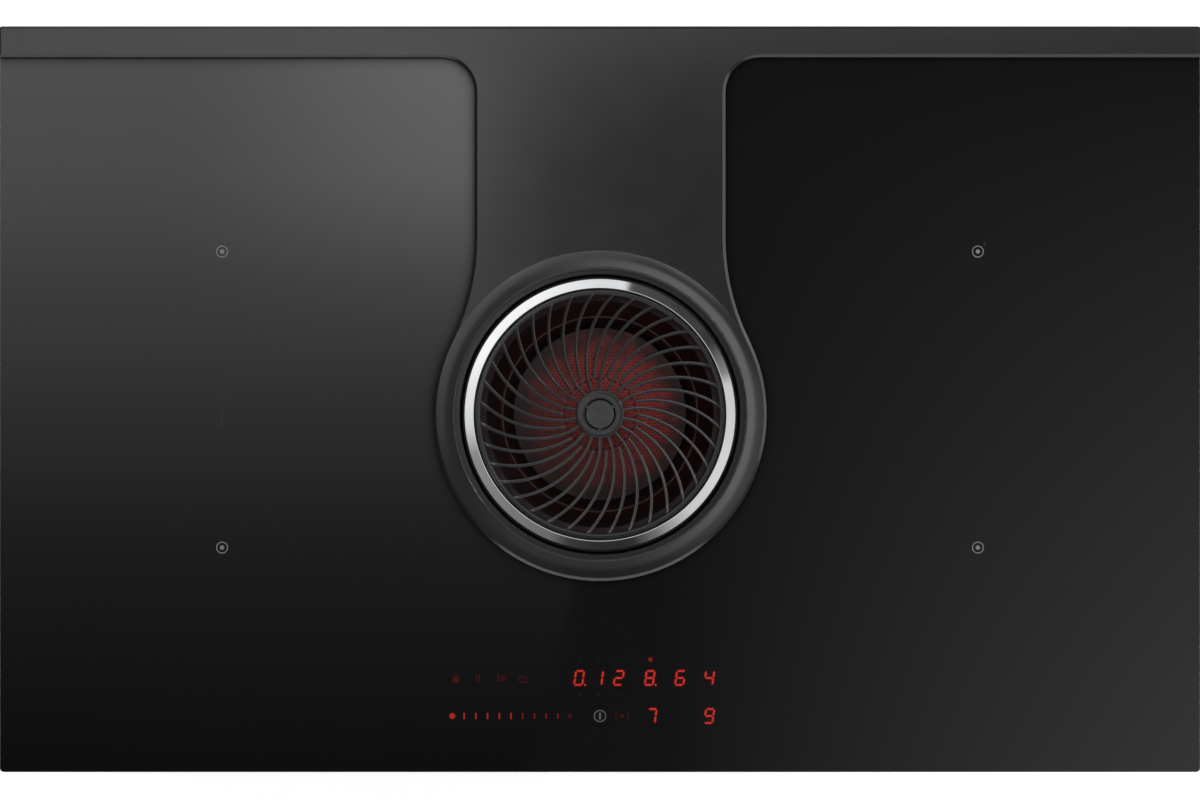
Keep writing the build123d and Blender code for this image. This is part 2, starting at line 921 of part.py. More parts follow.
def make_induction_tray():
    """The tray's floor plate, with its slots and its hole for the intake cup."""
    tray = tray_room(tray_low, tray_floor)
    tray -= disc(cup_wall_r + tray_hole_gap, tray_low - cut, tray_floor + cut, y=suction_y)
    tray -= disc(gland_r + slack, tray_low - cut, tray_floor + cut, gland_x, gland_y)
    for side in (-1, 1):
        tray -= [Pos(side * fan_x, fan_y, 0) * slot for slot in vent_cutter()]
        tray -= [Pos(side * fan_x, -fan_y, 0) * slot for slot in vent_cutter()]
    return drilled(tray, flange_screw_places())


def make_tray_walls():
    """The folded strip round the floor plate, up to the glass."""
    outer = rounded_block(-tray_x, tray_x, -tray_y, tray_y, tray_low, glass_low, tray_corner)
    walls = outer - tray_room(tray_low - cut, glass_low + cut)
    vent = Box(wall_vent_width, 2 * tray_corner, wall_vent_height)
    middle = (tray_floor + coil_low) / 2
    reach = (wall_vent_count - 1) / 2 * wall_vent_pitch
    vents = []
    for side in (-1, 1):
        for index in range(wall_vent_count):
            x = side * fan_x - reach + index * wall_vent_pitch
            vents.append(Pos(x, -tray_y, middle) * vent)
    return walls - vents


def make_coil(x, y):
    return ring(coil_r - winding_inset, coil_inner_r, coil_low, coil_up, x, y)


def ferrite_bar():
    low = carrier_low
    return block(0, ferrite_length, -ferrite_width / 2, ferrite_width / 2, low, low + ferrite_t)


def make_coil_carriers():
    carriers = []
    for x, y in zone_places():
        carrier = disc(coil_r - carrier_inset, carrier_low, coil_low, x, y)
        slots = [
            place * ferrite_bar() for place in around(ferrite_count, ferrite_start_r, x, y)
        ]
        carriers.append(carrier - slots)
    return together(carriers)


def make_ferrite_bars():
    bars = []
    for x, y in zone_places():
        for place in around(ferrite_count, ferrite_start_r, x, y):
            bars.append(place * ferrite_bar())
    return together(bars)


def make_coil_pads():
    pad = ring(pad_r, pad_bore_r, support_up, carrier_low)
    pads = []
    for x, y in zone_places():
        turn = 180 / ferrite_count
        pads += [
            place * pad for place in around(pad_count, pad_ring_r, x, y, first=turn)
        ]
    return together(pads)


def make_temperature_sensors():
    return together([disc(sensor_r, coil_low, coil_up, x, y) for x, y in zone_places()])


def make_mica_sheets():
    return together([disc(coil_r, coil_up, glass_low, x, y) for x, y in zone_places()])


def make_support_plate(side):
    ends = sorted((side * support_in, side * support_out))
    plate = block(ends[0], ends[1], -support_y, support_y, support_low, support_up)
    for x, y in zone_places():
        plate -= disc(sensor_hole_r, support_low - cut, support_up + cut, x, y)
    return plate


def make_support_posts():
    edge = post_r + cut
    posts = []
    for side in (-1, 1):
        for x in (support_in + edge, support_out - edge):
            for y in (-support_y + edge, 0, support_y - edge):
                posts.append(disc(post_r, tray_floor, support_low, side * x, y))
    for x in (panel_left + edge, panel_right - edge):
        for y in (panel_front + edge, panel_rear - edge):
            posts.append(disc(post_r, tray_floor, panel_low, x, y))
    return together(posts)


# Boards and cooling
def make_power_board(side):
    ends = sorted((side * board_in, side * board_out))
    return block(ends[0], ends[1], board_front, board_rear, board_low, board_up)


def make_board_standoffs():
    edge = 2 * standoff_r
    middle = (board_front + board_rear) / 2
    pieces = []
    for side in (-1, 1):
        for x in (board_in + edge, board_out - edge):
            for y in (board_front + edge, middle, board_rear - edge):
                pieces.append(disc(standoff_r, tray_floor, board_low, side * x, y))
    return together(pieces)


def make_heatsink(side):
    x = side * (board_in + board_edge_x + heatsink_width / 2)
    rear = board_rear - board_edge_x
    front = rear - heatsink_length
    half = heatsink_width / 2
    base = block(x - half, x + half, front, rear, board_up, board_up + heatsink_base)
    fins = []
    for index in range(fin_count):
        left = x - half + index * (heatsink_width - fin_t) / (fin_count - 1)
        fins.append(
            block(left, left + fin_t, front, rear, board_up, board_up + heatsink_height)
        )
    return base + fins


def make_capacitors():
    cans = []
    up = board_up + capacitor_height
    for side in (-1, 1):
        for index in range(capacitor_count):
            x = side * (board_in + board_edge_x + index * capacitor_pitch)
            can = disc(capacitor_r, board_up, up, x, board_front + board_edge_x + capacitor_r)
            cans.append(fillet(can.edges().group_by(Axis.Z)[-1], cut))
    return together(cans)


def make_fan_frame(side):
    x = side * fan_x
    half = fan_size / 2
    up = tray_floor + fan_height
    body = rounded_block(
        x - half, x + half, fan_y - half, fan_y + half, tray_floor, up, tray_corner
    )
    body -= disc(fan_bore_r, tray_floor - cut, up + cut, x, fan_y)
    floor_up = tray_floor + fan_floor_t
    strut = block(0, fan_bore_r + cut, -fan_pin_r, fan_pin_r, tray_floor, floor_up)
    struts = [place * strut for place in around(fan_struts, 0, x, fan_y, first=fan_strut_turn)]
    seat = disc(fan_hub_r, tray_floor, floor_up, x, fan_y)
    pin = disc(fan_pin_r, tray_floor, up - 2 * fan_floor_t, x, fan_y)
    return body + struts + seat + pin


def make_fan_rotor(side):
    low = tray_floor + fan_floor_t + loose
    up = tray_floor + fan_height - fan_floor_t
    hub = disc(fan_hub_r, low, up)
    bore = disc(fan_pin_r + fan_pin_gap, low - cut, up - fan_floor_t / 2)
    depth = (up - low) * fan_vane_share
    span = fan_blade_r - fan_hub_r + cut
    middle = Pos(fan_hub_r - cut + span / 2, 0, (low + up) / 2)
    vane = middle * Rot(fan_blade_pitch, 0, 0) * Box(span, fan_blade_t, depth)
    vanes = [Rot(0, 0, 360 * index / fan_blades) * vane for index in range(fan_blades)]
    return Pos(side * fan_x, fan_y, 0) * (hub + vanes - bore)


# Touch panel and terminals
def make_ui_board():
    return block(panel_left, panel_right, panel_front, panel_rear, panel_low, panel_up)


def make_display_modules():
    """Two rows of digit modules and the slider's light bar, under the glass."""
    middle = (panel_front + panel_rear) / 2
    rear_y = middle + digit_depth
    front_y = middle - digit_depth
    half = digit_depth / 2
    rows = [(left, right, rear_y) for left, right in rear_displays]
    rows += [(left, right, front_y) for left, right in front_displays]
    return together(
        [
            block(left, right, y - half, y + half, panel_up, display_up)
            for left, right, y in rows
        ]
    )


def make_terminal_block():
    left = terminal_x - terminal_width / 2
    front = terminal_y - terminal_depth / 2
    up = tray_floor + terminal_height
    body = block(
        left, left + terminal_width, front, front + terminal_depth, tray_floor, up
    )
    pitch = terminal_width / terminal_poles
    wells = []
    for index in range(terminal_poles):
        x = left + pitch * (index + 0.5)
        wells.append(disc(terminal_well_r, up - terminal_well, up + cut, x, terminal_y))
    return body - wells


def make_cable_gland():
    """The mains cable's way in, standing in the tray's floor behind the case."""
    low = tray_low - gland_length
    stem = disc(gland_r, low, tray_floor + gland_nut_t, gland_x, gland_y)
    dome = disc(gland_r + cut, low, tray_low - gland_nut_t, gland_x, gland_y)
    dome = fillet(dome.edges().group_by(Axis.Z)[0], 2 * cut)
    hexagon = extrude(RegularPolygon(gland_nut_r, 6), gland_nut_t)
    under = Pos(gland_x, gland_y, tray_low - gland_nut_t) * hexagon
    over = Pos(gland_x, gland_y, tray_floor) * hexagon
    bore = disc(gland_bore_r, low - cut, tray_floor + gland_nut_t + cut, gland_x, gland_y)
    return stem + dome + under + over - bore


# Case
def make_lower_case():
    """Folded walls round the blower, with a flange that screws to the tray."""
    outer = rounded_block(
        -case_half, case_half, case_front, case_rear, cover_t, tray_low, tray_corner
    )
    flange = rounded_block(
        -case_half - case_flange,
        case_half + case_flange,
        case_front - case_flange,
        case_rear + case_flange,
        flange_low,
        tray_low,
        tray_corner,
    )
    inner = rounded_block(
        -case_half + sheet_t,
        case_half - sheet_t,
        case_front + sheet_t,
        case_rear - sheet_t,
        cover_t - cut,
        tray_low + cut,
        tray_corner - sheet_t,
    )
    case = outer + flange - inner
    middle = (case_front + case_rear) / 2
    along = Rot(0, 0, 90)
    sides = []
    for z in wall_bead_levels:
        sides.append(Pos(-case_half, middle, z) * Rot(0, -90, 0) * along)
        sides.append(Pos(case_half, middle, z) * Rot(0, 90, 0) * along)
    front = [Pos(0, case_front, z) * Rot(90, 0, 0) for z in front_bead_levels]
    rear = [Pos(rear_bead_x, case_rear, z) * Rot(-90, 0, 0) for z in front_bead_levels]
    case = beaded(case, sheet_t, wall_bead_length, sides)
    case = beaded(case, sheet_t, front_bead_length, front)
    case = beaded(case, sheet_t, rear_bead_length, rear)
    case -= block(
        spigot_x - duct_half,
        spigot_x + duct_half,
        case_rear - 2 * sheet_t,
        case_rear + cut,
        spigot_z - duct_half_z,
        spigot_z + duct_half_z,
    )
    case -= block(
        -drip_half - loose,
        drip_half + loose,
        case_front - cut,
        case_front + 2 * sheet_t,
        cover_t - cut,
        drip_top + loose,
    )
    return drilled(case, flange_screw_places() + cover_screw_places() + spigot_screw_places())


def make_bottom_cover():
    floor = rounded_block(-case_half, case_half, case_front, case_rear, 0, cover_t, tray_corner)
    outer = case_half - sheet_t - loose
    front = case_front + cover_lip_end
    rear = case_rear - cover_lip_end
    up = cover_t + cover_lip
    lips = [block(outer - cover_t, outer, front, rear, cover_t / 2, up)]
    lips.append(block(-outer, -outer + cover_t, front, rear, cover_t / 2, up))
    middle = (case_front + case_rear) / 2
    sides = [
        Pos(side * x, middle, cover_t) * Rot(0, 0, 90)
        for side in (-1, 1)
        for x in cover_bead_places
    ]
    across = [Pos(0, y, cover_t) for y in cover_cross_bead_places]
    cover = beaded(floor + lips, cover_t, cover_bead_length, sides)
    cover = beaded(cover, cover_t, cover_cross_bead_length, across)
    return drilled(cover, cover_screw_places())


def make_side_springs():
    """Bowed strips on the tray's sides that centre it in the cut-out."""
    mid = tray_low + spring_low + spring_length / 2
    half = spring_length / 2
    outer = ThreePointArc((0, -half), (spring_bow, 0), (0, half))
    inner = ThreePointArc((0, -half + spring_t), (spring_bow - spring_t, 0), (0, half - spring_t))
    ends = [Line(outer @ 0, inner @ 0), Line(outer @ 1, inner @ 1)]
    face = make_face([edge for line in (outer, inner, *ends) for edge in line.edges()])
    strip = Pos(0, spring_width / 2, 0) * extrude(Rot(90, 0, 0) * face, spring_width)
    strips = []
    for y in (-spring_y, spring_y):
        strips.append(Pos(tray_x, y, mid) * strip)
        strips.append(Pos(-tray_x, y, mid) * Rot(0, 0, 180) * strip)
    return together(strips)


# Blower
def scroll_face(grow, end):
    """The scroll's outline from above: four quarter turns, then a straight mouth."""
    half = volute_step / 2
    first_r = volute_first_r + grow
    cut_x = cutoff_x - grow
    start = degrees(acos((cut_x + half) / first_r))
    lines = []
    centres = [(-half, half), (-half, -half), (half, -half), (half, half)]
    for turn, (x, y) in enumerate(centres):
        begin = start if turn == 0 else 90 * turn
        radius = first_r + turn * volute_step
        sweep = 90 * (turn + 1) - begin
        lines.append(CenterArc((x, suction_y + y), radius, begin, sweep))
    right = volute_right + grow
    lines.append(Line((right, suction_y + half), (right, end)))
    lines.append(Line((right, end), (cut_x, end)))
    lines.append(Line((cut_x, end), lines[0] @ 0))
    return make_face([edge for line in lines for edge in line.edges()])


def make_scroll_base():
    shell = Pos(0, 0, volute_low) * extrude(
        scroll_face(volute_wall, mouth), volute_up - volute_low
    )
    room = Pos(0, 0, volute_floor) * extrude(scroll_face(0, mouth + cut), volute_height + cut)
    spout = disc(drain_r + drain_wall, drip_top + loose, volute_floor, drain_x, drain_y)
    drain = disc(drain_r, drip_top, volute_floor + cut, drain_x, drain_y)
    return shell - room + spout - drain


def make_scroll_cover():
    plate_up = volute_up + volute_wall
    plate = Pos(0, 0, volute_up) * extrude(scroll_face(volute_wall, mouth), volute_wall)
    plate -= disc(throat_r, volute_up - cut, plate_up + cut, y=suction_y)
    throat = ring(
        throat_r + throat_t, throat_r, volute_up - throat_dip, plate_up, y=suction_y
    )
    inlet_r = cup_wall_r + inlet_gap
    collar = ring(
        inlet_r + inlet_collar_t,
        inlet_r,
        volute_up,
        plate_up + inlet_collar_height,
        y=suction_y,
    )
    return plate + throat + collar


def blade_face():
    """One forward-curved blade seen from above, as two arcs of like bow."""
    start = Vector(blade_inner_r, 0)
    end = Vector(impeller_r - blade_t, 0)
    middle = (start + end) * 0.5
    front = ThreePointArc(start, middle + Vector(0, blade_bow + blade_t / 2), end)
    back = ThreePointArc(start, middle + Vector(0, blade_bow - blade_t / 2), end)
    return make_face([edge for line in (front, back) for edge in line.edges()])


def make_impeller():
    plate_up = impeller_low + impeller_plate_t
    up = impeller_low + impeller_height
    body = turned(
        [
            (shaft_r, bell_top),
            (bell_r, bell_top),
            (blade_inner_r, plate_up),
            (impeller_r, plate_up),
            (impeller_r, impeller_low),
            (blade_inner_r - cut, impeller_low),
            (bell_r - cut, bell_top - impeller_plate_t),
            (boss_r, bell_top - impeller_plate_t),
            (boss_r, bell_top - impeller_plate_t - cut),
            (shaft_r, bell_top - impeller_plate_t - cut),
        ],
        y=0,
    )
    boss = ring(boss_r, shaft_r, bell_top - impeller_plate_t, bell_top + boss_length)
    rim = ring(impeller_r, impeller_r - impeller_ring_width, up - impeller_ring_t, up)
    blade = Pos(0, 0, impeller_low + impeller_plate_t / 2) * extrude(
        blade_face(), impeller_height - impeller_plate_t / 2
    )
    blades = [Rot(0, 0, 360 * index / blade_count) * blade for index in range(blade_count)]
    return Pos(0, suction_y, 0) * (body + boss + rim + blades)


def make_motor_shaft():
    return disc(shaft_r, shaft_low, bell_top + boss_length + cut, y=suction_y)


def make_motor_housing():
    up = volute_floor + motor_height
    body = turned(
        [
            (0, volute_floor),
            (motor_foot_r, volute_floor),
            (motor_foot_r, volute_floor + motor_foot_t),
            (motor_r, volute_floor + motor_foot_t),
            (motor_r, up - 2 * cut),
            (motor_r - 2 * cut, up),
            (0, up),
        ]
    )
    return body - disc(shaft_r + shaft_gap, shaft_low - loose, up + cut, y=suction_y)


def make_blower_mounts():
    mounts = []
    for x in (-mount_x, mount_x):
        for y in (mount_front_y, mount_rear_y):
            mounts.append(disc(mount_r, cover_t, volute_low, x, y))
    return together(mounts)


# Outlet
def duct_section(y, left, right, low, high):
    points = [(left, y, low), (right, y, low), (right, y, high), (left, y, high)]
    return make_face(Polyline(*points, close=True))


def duct_loft(grow, first_y, last_y):
    first = duct_section(
        first_y, cutoff_x - grow, volute_right + grow, volute_floor - grow, volute_up + grow
    )
    last = duct_section(
        last_y,
        spigot_x - duct_half - grow,
        spigot_x + duct_half + grow,
        spigot_z - duct_half_z - grow,
        spigot_z + duct_half_z + grow,
    )
    return loft([first, last], ruled=True)


def make_outlet_box():
    """The widening duct from the scroll's mouth to the case's rear wall."""
    end = case_rear - sheet_t
    shell = duct_loft(spigot_wall, mouth, end)
    out_x = spigot_width / 2 + spigot_flange
    out_z = spigot_height / 2 + spigot_flange
    shell += block(
        spigot_x - out_x,
        spigot_x + out_x,
        end - spigot_flange_t,
        end,
        spigot_z - out_z,
        spigot_z + out_z,
    )
    return drilled(shell - duct_loft(0, mouth, end), spigot_screw_places())


def rounded_bar(half_x, half_z, first_y, last_y, corner):
    """A bar of rounded section along Y, centred on the spigot."""
    face = RectangleRounded(2 * half_x, 2 * half_z, corner)
    bar = extrude(Rot(90, 0, 0) * face, first_y - last_y)
    return Pos(spigot_x, first_y, spigot_z) * bar


def flap_places():
    """Pivot heights of the upper and the lower flap."""
    upper = spigot_z + duct_half_z - flap_drop
    lower = spigot_z - flap_drop
    return upper, lower


def make_duct_spigot():
    end = case_rear + spigot_length
    out_x = spigot_width / 2
    out_z = spigot_height / 2
    tube = rounded_bar(out_x, out_z, case_rear, end, spigot_corner)
    flange = rounded_bar(
        out_x + spigot_flange,
        out_z + spigot_flange,
        case_rear,
        case_rear + spigot_flange_t,
        spigot_corner,
    )
    bore = rounded_bar(
        duct_half, duct_half_z, case_rear - cut, end + cut, spigot_corner - spigot_wall
    )
    body = tube + flange - bore
    stop_rear = flap_plane - flap_t / 2 - stop_gap
    floor = spigot_z - duct_half_z
    for low, high in ((floor - cut, floor + stop_t), (spigot_z, spigot_z + stop_t)):
        body += block(
            spigot_x - duct_half - cut,
            spigot_x + duct_half + cut,
            stop_rear - stop_t,
            stop_rear,
            low,
            high,
        )
    hole = Rot(0, 90, 0) * disc(
        flap_pin_r + flap_pin_gap, -out_x - cut, out_x + cut
    )
    body = body - [Pos(spigot_x, flap_plane, z) * hole for z in flap_places()]
    return drilled(body, spigot_screw_places())


def make_flap(pivot, low):
    half = duct_half - flap_gap
    plate = block(
        spigot_x - half,
        spigot_x + half,
        flap_plane - flap_t / 2,
        flap_plane + flap_t / 2,
        low,
        pivot + flap_top,
    )
    plate = fillet(
        plate.edges().filter_by(Axis.Y).group_by(Axis.Z)[0], spigot_corner - spigot_wall
    )
    reach = spigot_width / 2 - flap_pin_gap
    pin = Rot(0, 90, 0) * disc(flap_pin_r, -reach, reach)
    return plate + Pos(spigot_x, flap_plane, pivot) * pin


def make_upper_flap():
    return make_flap(flap_places()[0], spigot_z + cut)


def make_lower_flap():
    return make_flap(flap_places()[1], spigot_z - duct_half_z + cut)


# Drip tray
def make_drip_tray():
    front = case_front - loose
    rear = case_front + drip_length
    tub = block(-drip_half, drip_half, front, rear, drip_low, drip_top)
    tub -= block(
        -drip_half + drip_wall,
        drip_half - drip_wall,
        front + drip_wall,
        rear - drip_wall,
        drip_low + drip_wall,
        drip_top + cut,
    )
    edge = drip_half + drip_face_overlap
    face = block(
        -edge, edge, front - drip_face_t, front, drip_low, drip_top + drip_face_overlap
    )
    pull = block(
        -drip_pull / 2,
        drip_pull / 2,
        front - drip_face_t - drip_pull_depth,
        front - drip_face_t,
        drip_top,
        drip_top + drip_pull_t,
    )
    return tub + face + pull


def make_tray_runners():
    front = case_front + 2 * sheet_t
    rear = case_front + drip_length
    low = runner_up - runner_lip_t
    inner_x = runner_x - runner_t
    wall = block(inner_x, runner_x, front, rear, cover_t, runner_up)
    lip = block(inner_x - runner_lip, runner_x, front, rear, low, runner_up)
    right = wall + lip
    return together([right, right.mirror(Plane.YZ)])


def all_parts():
    """Every piece under its own name."""
    parts = {
        "glass_top": make_glass_top(),
        "trim_frame": make_trim_frame(),
        "worktop_seal": make_worktop_seal(),
        "collar_gasket": make_collar_gasket(),
        "collar_nut": make_collar_nut(),
        "intake_cup": make_intake_cup(),
        "light_ring": make_light_ring(),
        "knob_track": make_knob_track(),
        "knob_ring": make_knob_ring(),
        "knob_trim": make_knob_trim(),
        "knob_magnets": make_knob_magnets(),
        "turn_sensor_board": make_turn_sensor_board(),
        "grille": make_grille(),
        "hub_cap": make_hub_cap(),
        "filter_bowl": make_filter_bowl(),
        "filter_mesh": make_filter_mesh(),
        "induction_tray": make_induction_tray(),
        "tray_walls": make_tray_walls(),
        "coil_carriers": make_coil_carriers(),
        "ferrite_bars": make_ferrite_bars(),
        "coil_pads": make_coil_pads(),
        "temperature_sensors": make_temperature_sensors(),
        "mica_sheets": make_mica_sheets(),
        "support_posts": make_support_posts(),
        "board_standoffs": make_board_standoffs(),
        "capacitors": make_capacitors(),
        "ui_board": make_ui_board(),
        "display_modules": make_display_modules(),
        "terminal_block": make_terminal_block(),
        "cable_gland": make_cable_gland(),
        "lower_case": make_lower_case(),
        "bottom_cover": make_bottom_cover(),
        "case_screws": make_case_screws(),
        "side_springs": make_side_springs(),
        "scroll_base": make_scroll_base(),
        "scroll_cover": make_scroll_cover(),
        "impeller": make_impeller(),
        "motor_shaft": make_motor_shaft(),
        "motor_housing": make_motor_housing(),
        "blower_mounts": make_blower_mounts(),
        "outlet_box": make_outlet_box(),
        "duct_spigot": make_duct_spigot(),
        "backflow_flap_upper": make_upper_flap(),
        "backflow_flap_lower": make_lower_flap(),
        "drip_tray": make_drip_tray(),
        "tray_runners": make_tray_runners(),
    }
    coil_names = ("left_rear", "left_front", "right_rear", "right_front")
    for name, (x, y) in zip(coil_names, zone_places()):
        parts[f"coil_{name}"] = make_coil(x, y)
    for name, side in (("left", -1), ("right", 1)):
        parts[f"support_plate_{name}"] = make_support_plate(side)
        parts[f"power_board_{name}"] = make_power_board(side)
        parts[f"heatsink_{name}"] = make_heatsink(side)
        parts[f"fan_frame_{name}"] = make_fan_frame(side)
        parts[f"fan_rotor_{name}"] = make_fan_rotor(side)
    return parts


os.makedirs("parts", exist_ok=True)
for node, shape in all_parts().items():
    export_step(shape, f"parts/{node}.step")
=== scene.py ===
# Downdraft induction cooktop: the finishes, and the pieces that need a finer shape than the frame holds
import json
import math

import bmesh
import bpy
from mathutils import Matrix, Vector
from mathutils.geometry import delaunay_2d_cdt


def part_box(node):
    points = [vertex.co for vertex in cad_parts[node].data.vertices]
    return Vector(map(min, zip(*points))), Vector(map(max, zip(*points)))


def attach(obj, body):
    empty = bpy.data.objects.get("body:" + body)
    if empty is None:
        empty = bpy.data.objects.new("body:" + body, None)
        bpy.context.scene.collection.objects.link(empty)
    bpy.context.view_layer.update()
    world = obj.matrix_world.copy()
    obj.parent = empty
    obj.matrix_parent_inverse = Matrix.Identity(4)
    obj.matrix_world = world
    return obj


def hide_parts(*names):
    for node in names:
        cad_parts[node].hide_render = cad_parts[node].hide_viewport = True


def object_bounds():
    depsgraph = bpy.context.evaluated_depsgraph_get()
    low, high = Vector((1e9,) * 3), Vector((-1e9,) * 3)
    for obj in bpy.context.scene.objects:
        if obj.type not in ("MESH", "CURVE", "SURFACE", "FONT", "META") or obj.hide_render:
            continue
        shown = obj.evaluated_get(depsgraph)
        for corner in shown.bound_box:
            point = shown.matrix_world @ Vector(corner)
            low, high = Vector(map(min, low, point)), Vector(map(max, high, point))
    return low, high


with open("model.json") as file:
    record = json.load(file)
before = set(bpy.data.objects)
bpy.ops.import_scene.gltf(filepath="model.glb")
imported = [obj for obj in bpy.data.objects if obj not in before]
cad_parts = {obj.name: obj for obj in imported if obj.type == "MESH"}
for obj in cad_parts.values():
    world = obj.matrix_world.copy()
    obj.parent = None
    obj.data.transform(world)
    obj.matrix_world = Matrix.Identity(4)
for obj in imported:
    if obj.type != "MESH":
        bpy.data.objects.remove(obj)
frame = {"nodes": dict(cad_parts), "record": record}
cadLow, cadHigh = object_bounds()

mm = 0.001
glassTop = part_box("glass_top")[1].z
plateLow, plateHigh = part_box("glass_top")
trimLow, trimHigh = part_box("knob_trim")
suction = (trimLow + trimHigh) / 2      # the intake's upright axis
print("frame loaded,", len(frame["nodes"]), "nodes")


def linear(hexColour):
    values = [int(hexColour[i:i + 2], 16) / 255 for i in (1, 3, 5)]
    return [v / 12.92 if v <= 0.04045 else ((v + 0.055) / 1.055) ** 2.4 for v in values] + [1.0]


def addNode(tree, kind, settings):
    # settings name an option or a socket of the node; a socket takes a value or another node's output
    node = tree.nodes.new(kind)
    for key, value in settings.items():
        if isinstance(key, str) and hasattr(node, key):
            setattr(node, key, value)
        elif isinstance(value, bpy.types.NodeSocket):
            tree.links.new(value, node.inputs[key])
        else:
            node.inputs[key].default_value = value
    return node


def maths(tree, operation, *terms):
    return addNode(tree, "ShaderNodeMath", {"operation": operation, **dict(enumerate(terms))}).outputs[0]


def vectorMaths(tree, operation, *terms):
    return addNode(tree, "ShaderNodeVectorMath", {"operation": operation, **dict(enumerate(terms))})


def ranged(tree, value, start, end, low=0.0, high=1.0, smooth=False):
    # as the value runs from start to end, the result runs from low to high and stays between them
    return addNode(tree, "ShaderNodeMapRange",
                   {"interpolation_type": "SMOOTHSTEP" if smooth else "LINEAR", "From Min": start,
                    "From Max": end, "To Min": low, "To Max": high, "Value": value}).outputs[0]


def mixed(tree, share, first, second, blend="MIX"):
    return addNode(tree, "ShaderNodeMix", {"data_type": "RGBA", "blend_type": blend, 0: share, 6: first,
                                           7: second}).outputs[2]


def mixedLevel(tree, share, first, second):
    return addNode(tree, "ShaderNodeMix", {"data_type": "FLOAT", 0: share, 2: first, 3: second}).outputs[0]


def noise(tree, place, sizeMm, detail):
    return addNode(tree, "ShaderNodeTexNoise", {"Scale": 1000 / sizeMm, "Detail": detail, "Vector": place})


def bumped(tree, height, depthMm, under=None):
    settings = {"Strength": 1.0, "Distance": depthMm * mm, "Height": height}
    if under is not None:
        settings["Normal"] = under
    return addNode(tree, "ShaderNodeBump", settings).outputs[0]


def stopped(tree, source, stops):
    # stops are (place along the ramp, grey value)
    ramp = addNode(tree, "ShaderNodeValToRGB", {"Fac": source})
    band = ramp.color_ramp
    while len(band.elements) > 1:
        band.elements.remove(band.elements[-1])
    band.elements[0].position = stops[0][0]
    band.elements[0].color = [stops[0][1]] * 3 + [1]
    for spot, grey in stops[1:]:
        band.elements.new(spot).color = [grey] * 3 + [1]
    return ramp.outputs[0]


def bareMaterial(name):
    material = bpy.data.materials.new(name)
    material.use_nodes = True
    material.node_tree.nodes.clear()
    return material, material.node_tree


def coordinate(tree, kind):
    return addNode(tree, "ShaderNodeTexCoord", {}).outputs[kind]


def radiusFrom(tree, place, centre):
    # distance from an upright axis, in metres
    flat = vectorMaths(tree, "MULTIPLY", place, (1, 1, 0))
    return vectorMaths(tree, "DISTANCE", flat.outputs[0], (centre.x, centre.y, 0)).outputs["Value"]


# camera straight above the plate, as in the photo: its 830 mm of width just overfill the picture
view = {"lens": 85, "sensor": 36, "fieldWidth": 829.4, "offsetY": -0.3}
cameraHeight = view["fieldWidth"] * mm * view["lens"] / view["sensor"]
cameraData = bpy.data.cameras.new("overhead")
cameraData.lens = view["lens"]
cameraData.sensor_width = view["sensor"]
camera = bpy.data.objects.new("overhead", cameraData)
camera.location = (0, view["offsetY"] * mm, glassTop + cameraHeight)
bpy.context.scene.collection.objects.link(camera)
bpy.context.scene.camera = camera
bpy.context.scene.view_settings.view_transform = "Standard"
print("camera set")


# every finish starts from this network: two tones in soft patches, uneven gloss and a fine relief
def surface(name, look):
    material, tree = bareMaterial(name)
    place = coordinate(tree, "Object")
    if "stretch" in look:   # grain drawn out along one way of the metal
        place = addNode(tree, "ShaderNodeMapping", {"Scale": look["stretch"], "Vector": place}).outputs[0]
    patches = noise(tree, place, look["patchMm"], 4.0)
    tone = mixed(tree, patches.outputs["Fac"], linear(look["dark"]), linear(look["light"]))
    smears = noise(tree, place, look["smearMm"], 5.0)
    gloss = ranged(tree, smears.outputs["Fac"], 0.3, 0.7, *look["gloss"])
    grain = noise(tree, place, look["grainMm"], 2.0)
    relief = bumped(tree, grain.outputs["Fac"], look["depthMm"])
    shader = addNode(tree, "ShaderNodeBsdfPrincipled",
                     {**look["shader"], "Base Color": tone, "Roughness": gloss, "Normal": relief})
    addNode(tree, "ShaderNodeOutputMaterial", {"Surface": shader.outputs[0]})
    return {"material": material, "tree": tree, "place": place, "tone": tone, "gloss": gloss,
            "grain": grain, "relief": relief, "shader": shader}


def feed(parts, socket, source):
    parts["tree"].links.new(source, parts["shader"].inputs[socket])


def edgeWearAndSheen(parts, wearAndSheen):
    # a bevelled normal that leaves the true one marks the edges, where handling rubs the surface lighter
    # on the frame's coat the lighter edge is partly a painted highlight
    tree = parts["tree"]
    soft = addNode(tree, "ShaderNodeBevel", {"samples": 4, "Radius": wearAndSheen["widthMm"] * mm})
    true = addNode(tree, "ShaderNodeNewGeometry", {})
    facing = vectorMaths(tree, "DOT_PRODUCT", soft.outputs[0], true.outputs["Normal"])
    amount = ranged(tree, facing.outputs["Value"], 1.0, 0.75, 0.0, wearAndSheen["amount"])
    wornAndLit = mixed(tree, amount, parts["tone"], linear(wearAndSheen["colour"]))
    feed(parts, "Base Color", wornAndLit)
    return wornAndLit


def turnedLines(parts, lines):
    # tool marks run round the axis, so the relief follows the radius alone
    tree = parts["tree"]
    tool = addNode(tree, "ShaderNodeTexNoise",
                   {"noise_dimensions": "1D", "Scale": 1000 / lines["pitchMm"], "Detail": 2.0,
                    "W": radiusFrom(tree, parts["place"], suction)})
    feed(parts, "Normal", bumped(tree, tool.outputs["Fac"], lines["depthMm"], parts["relief"]))


def lightUp(parts, weak, strong):
    # the light varies with the grain between weak and strong
    power = ranged(parts["tree"], parts["grain"].outputs["Fac"], 0.3, 0.7, weak, strong)
    feed(parts, "Emission Strength", power)


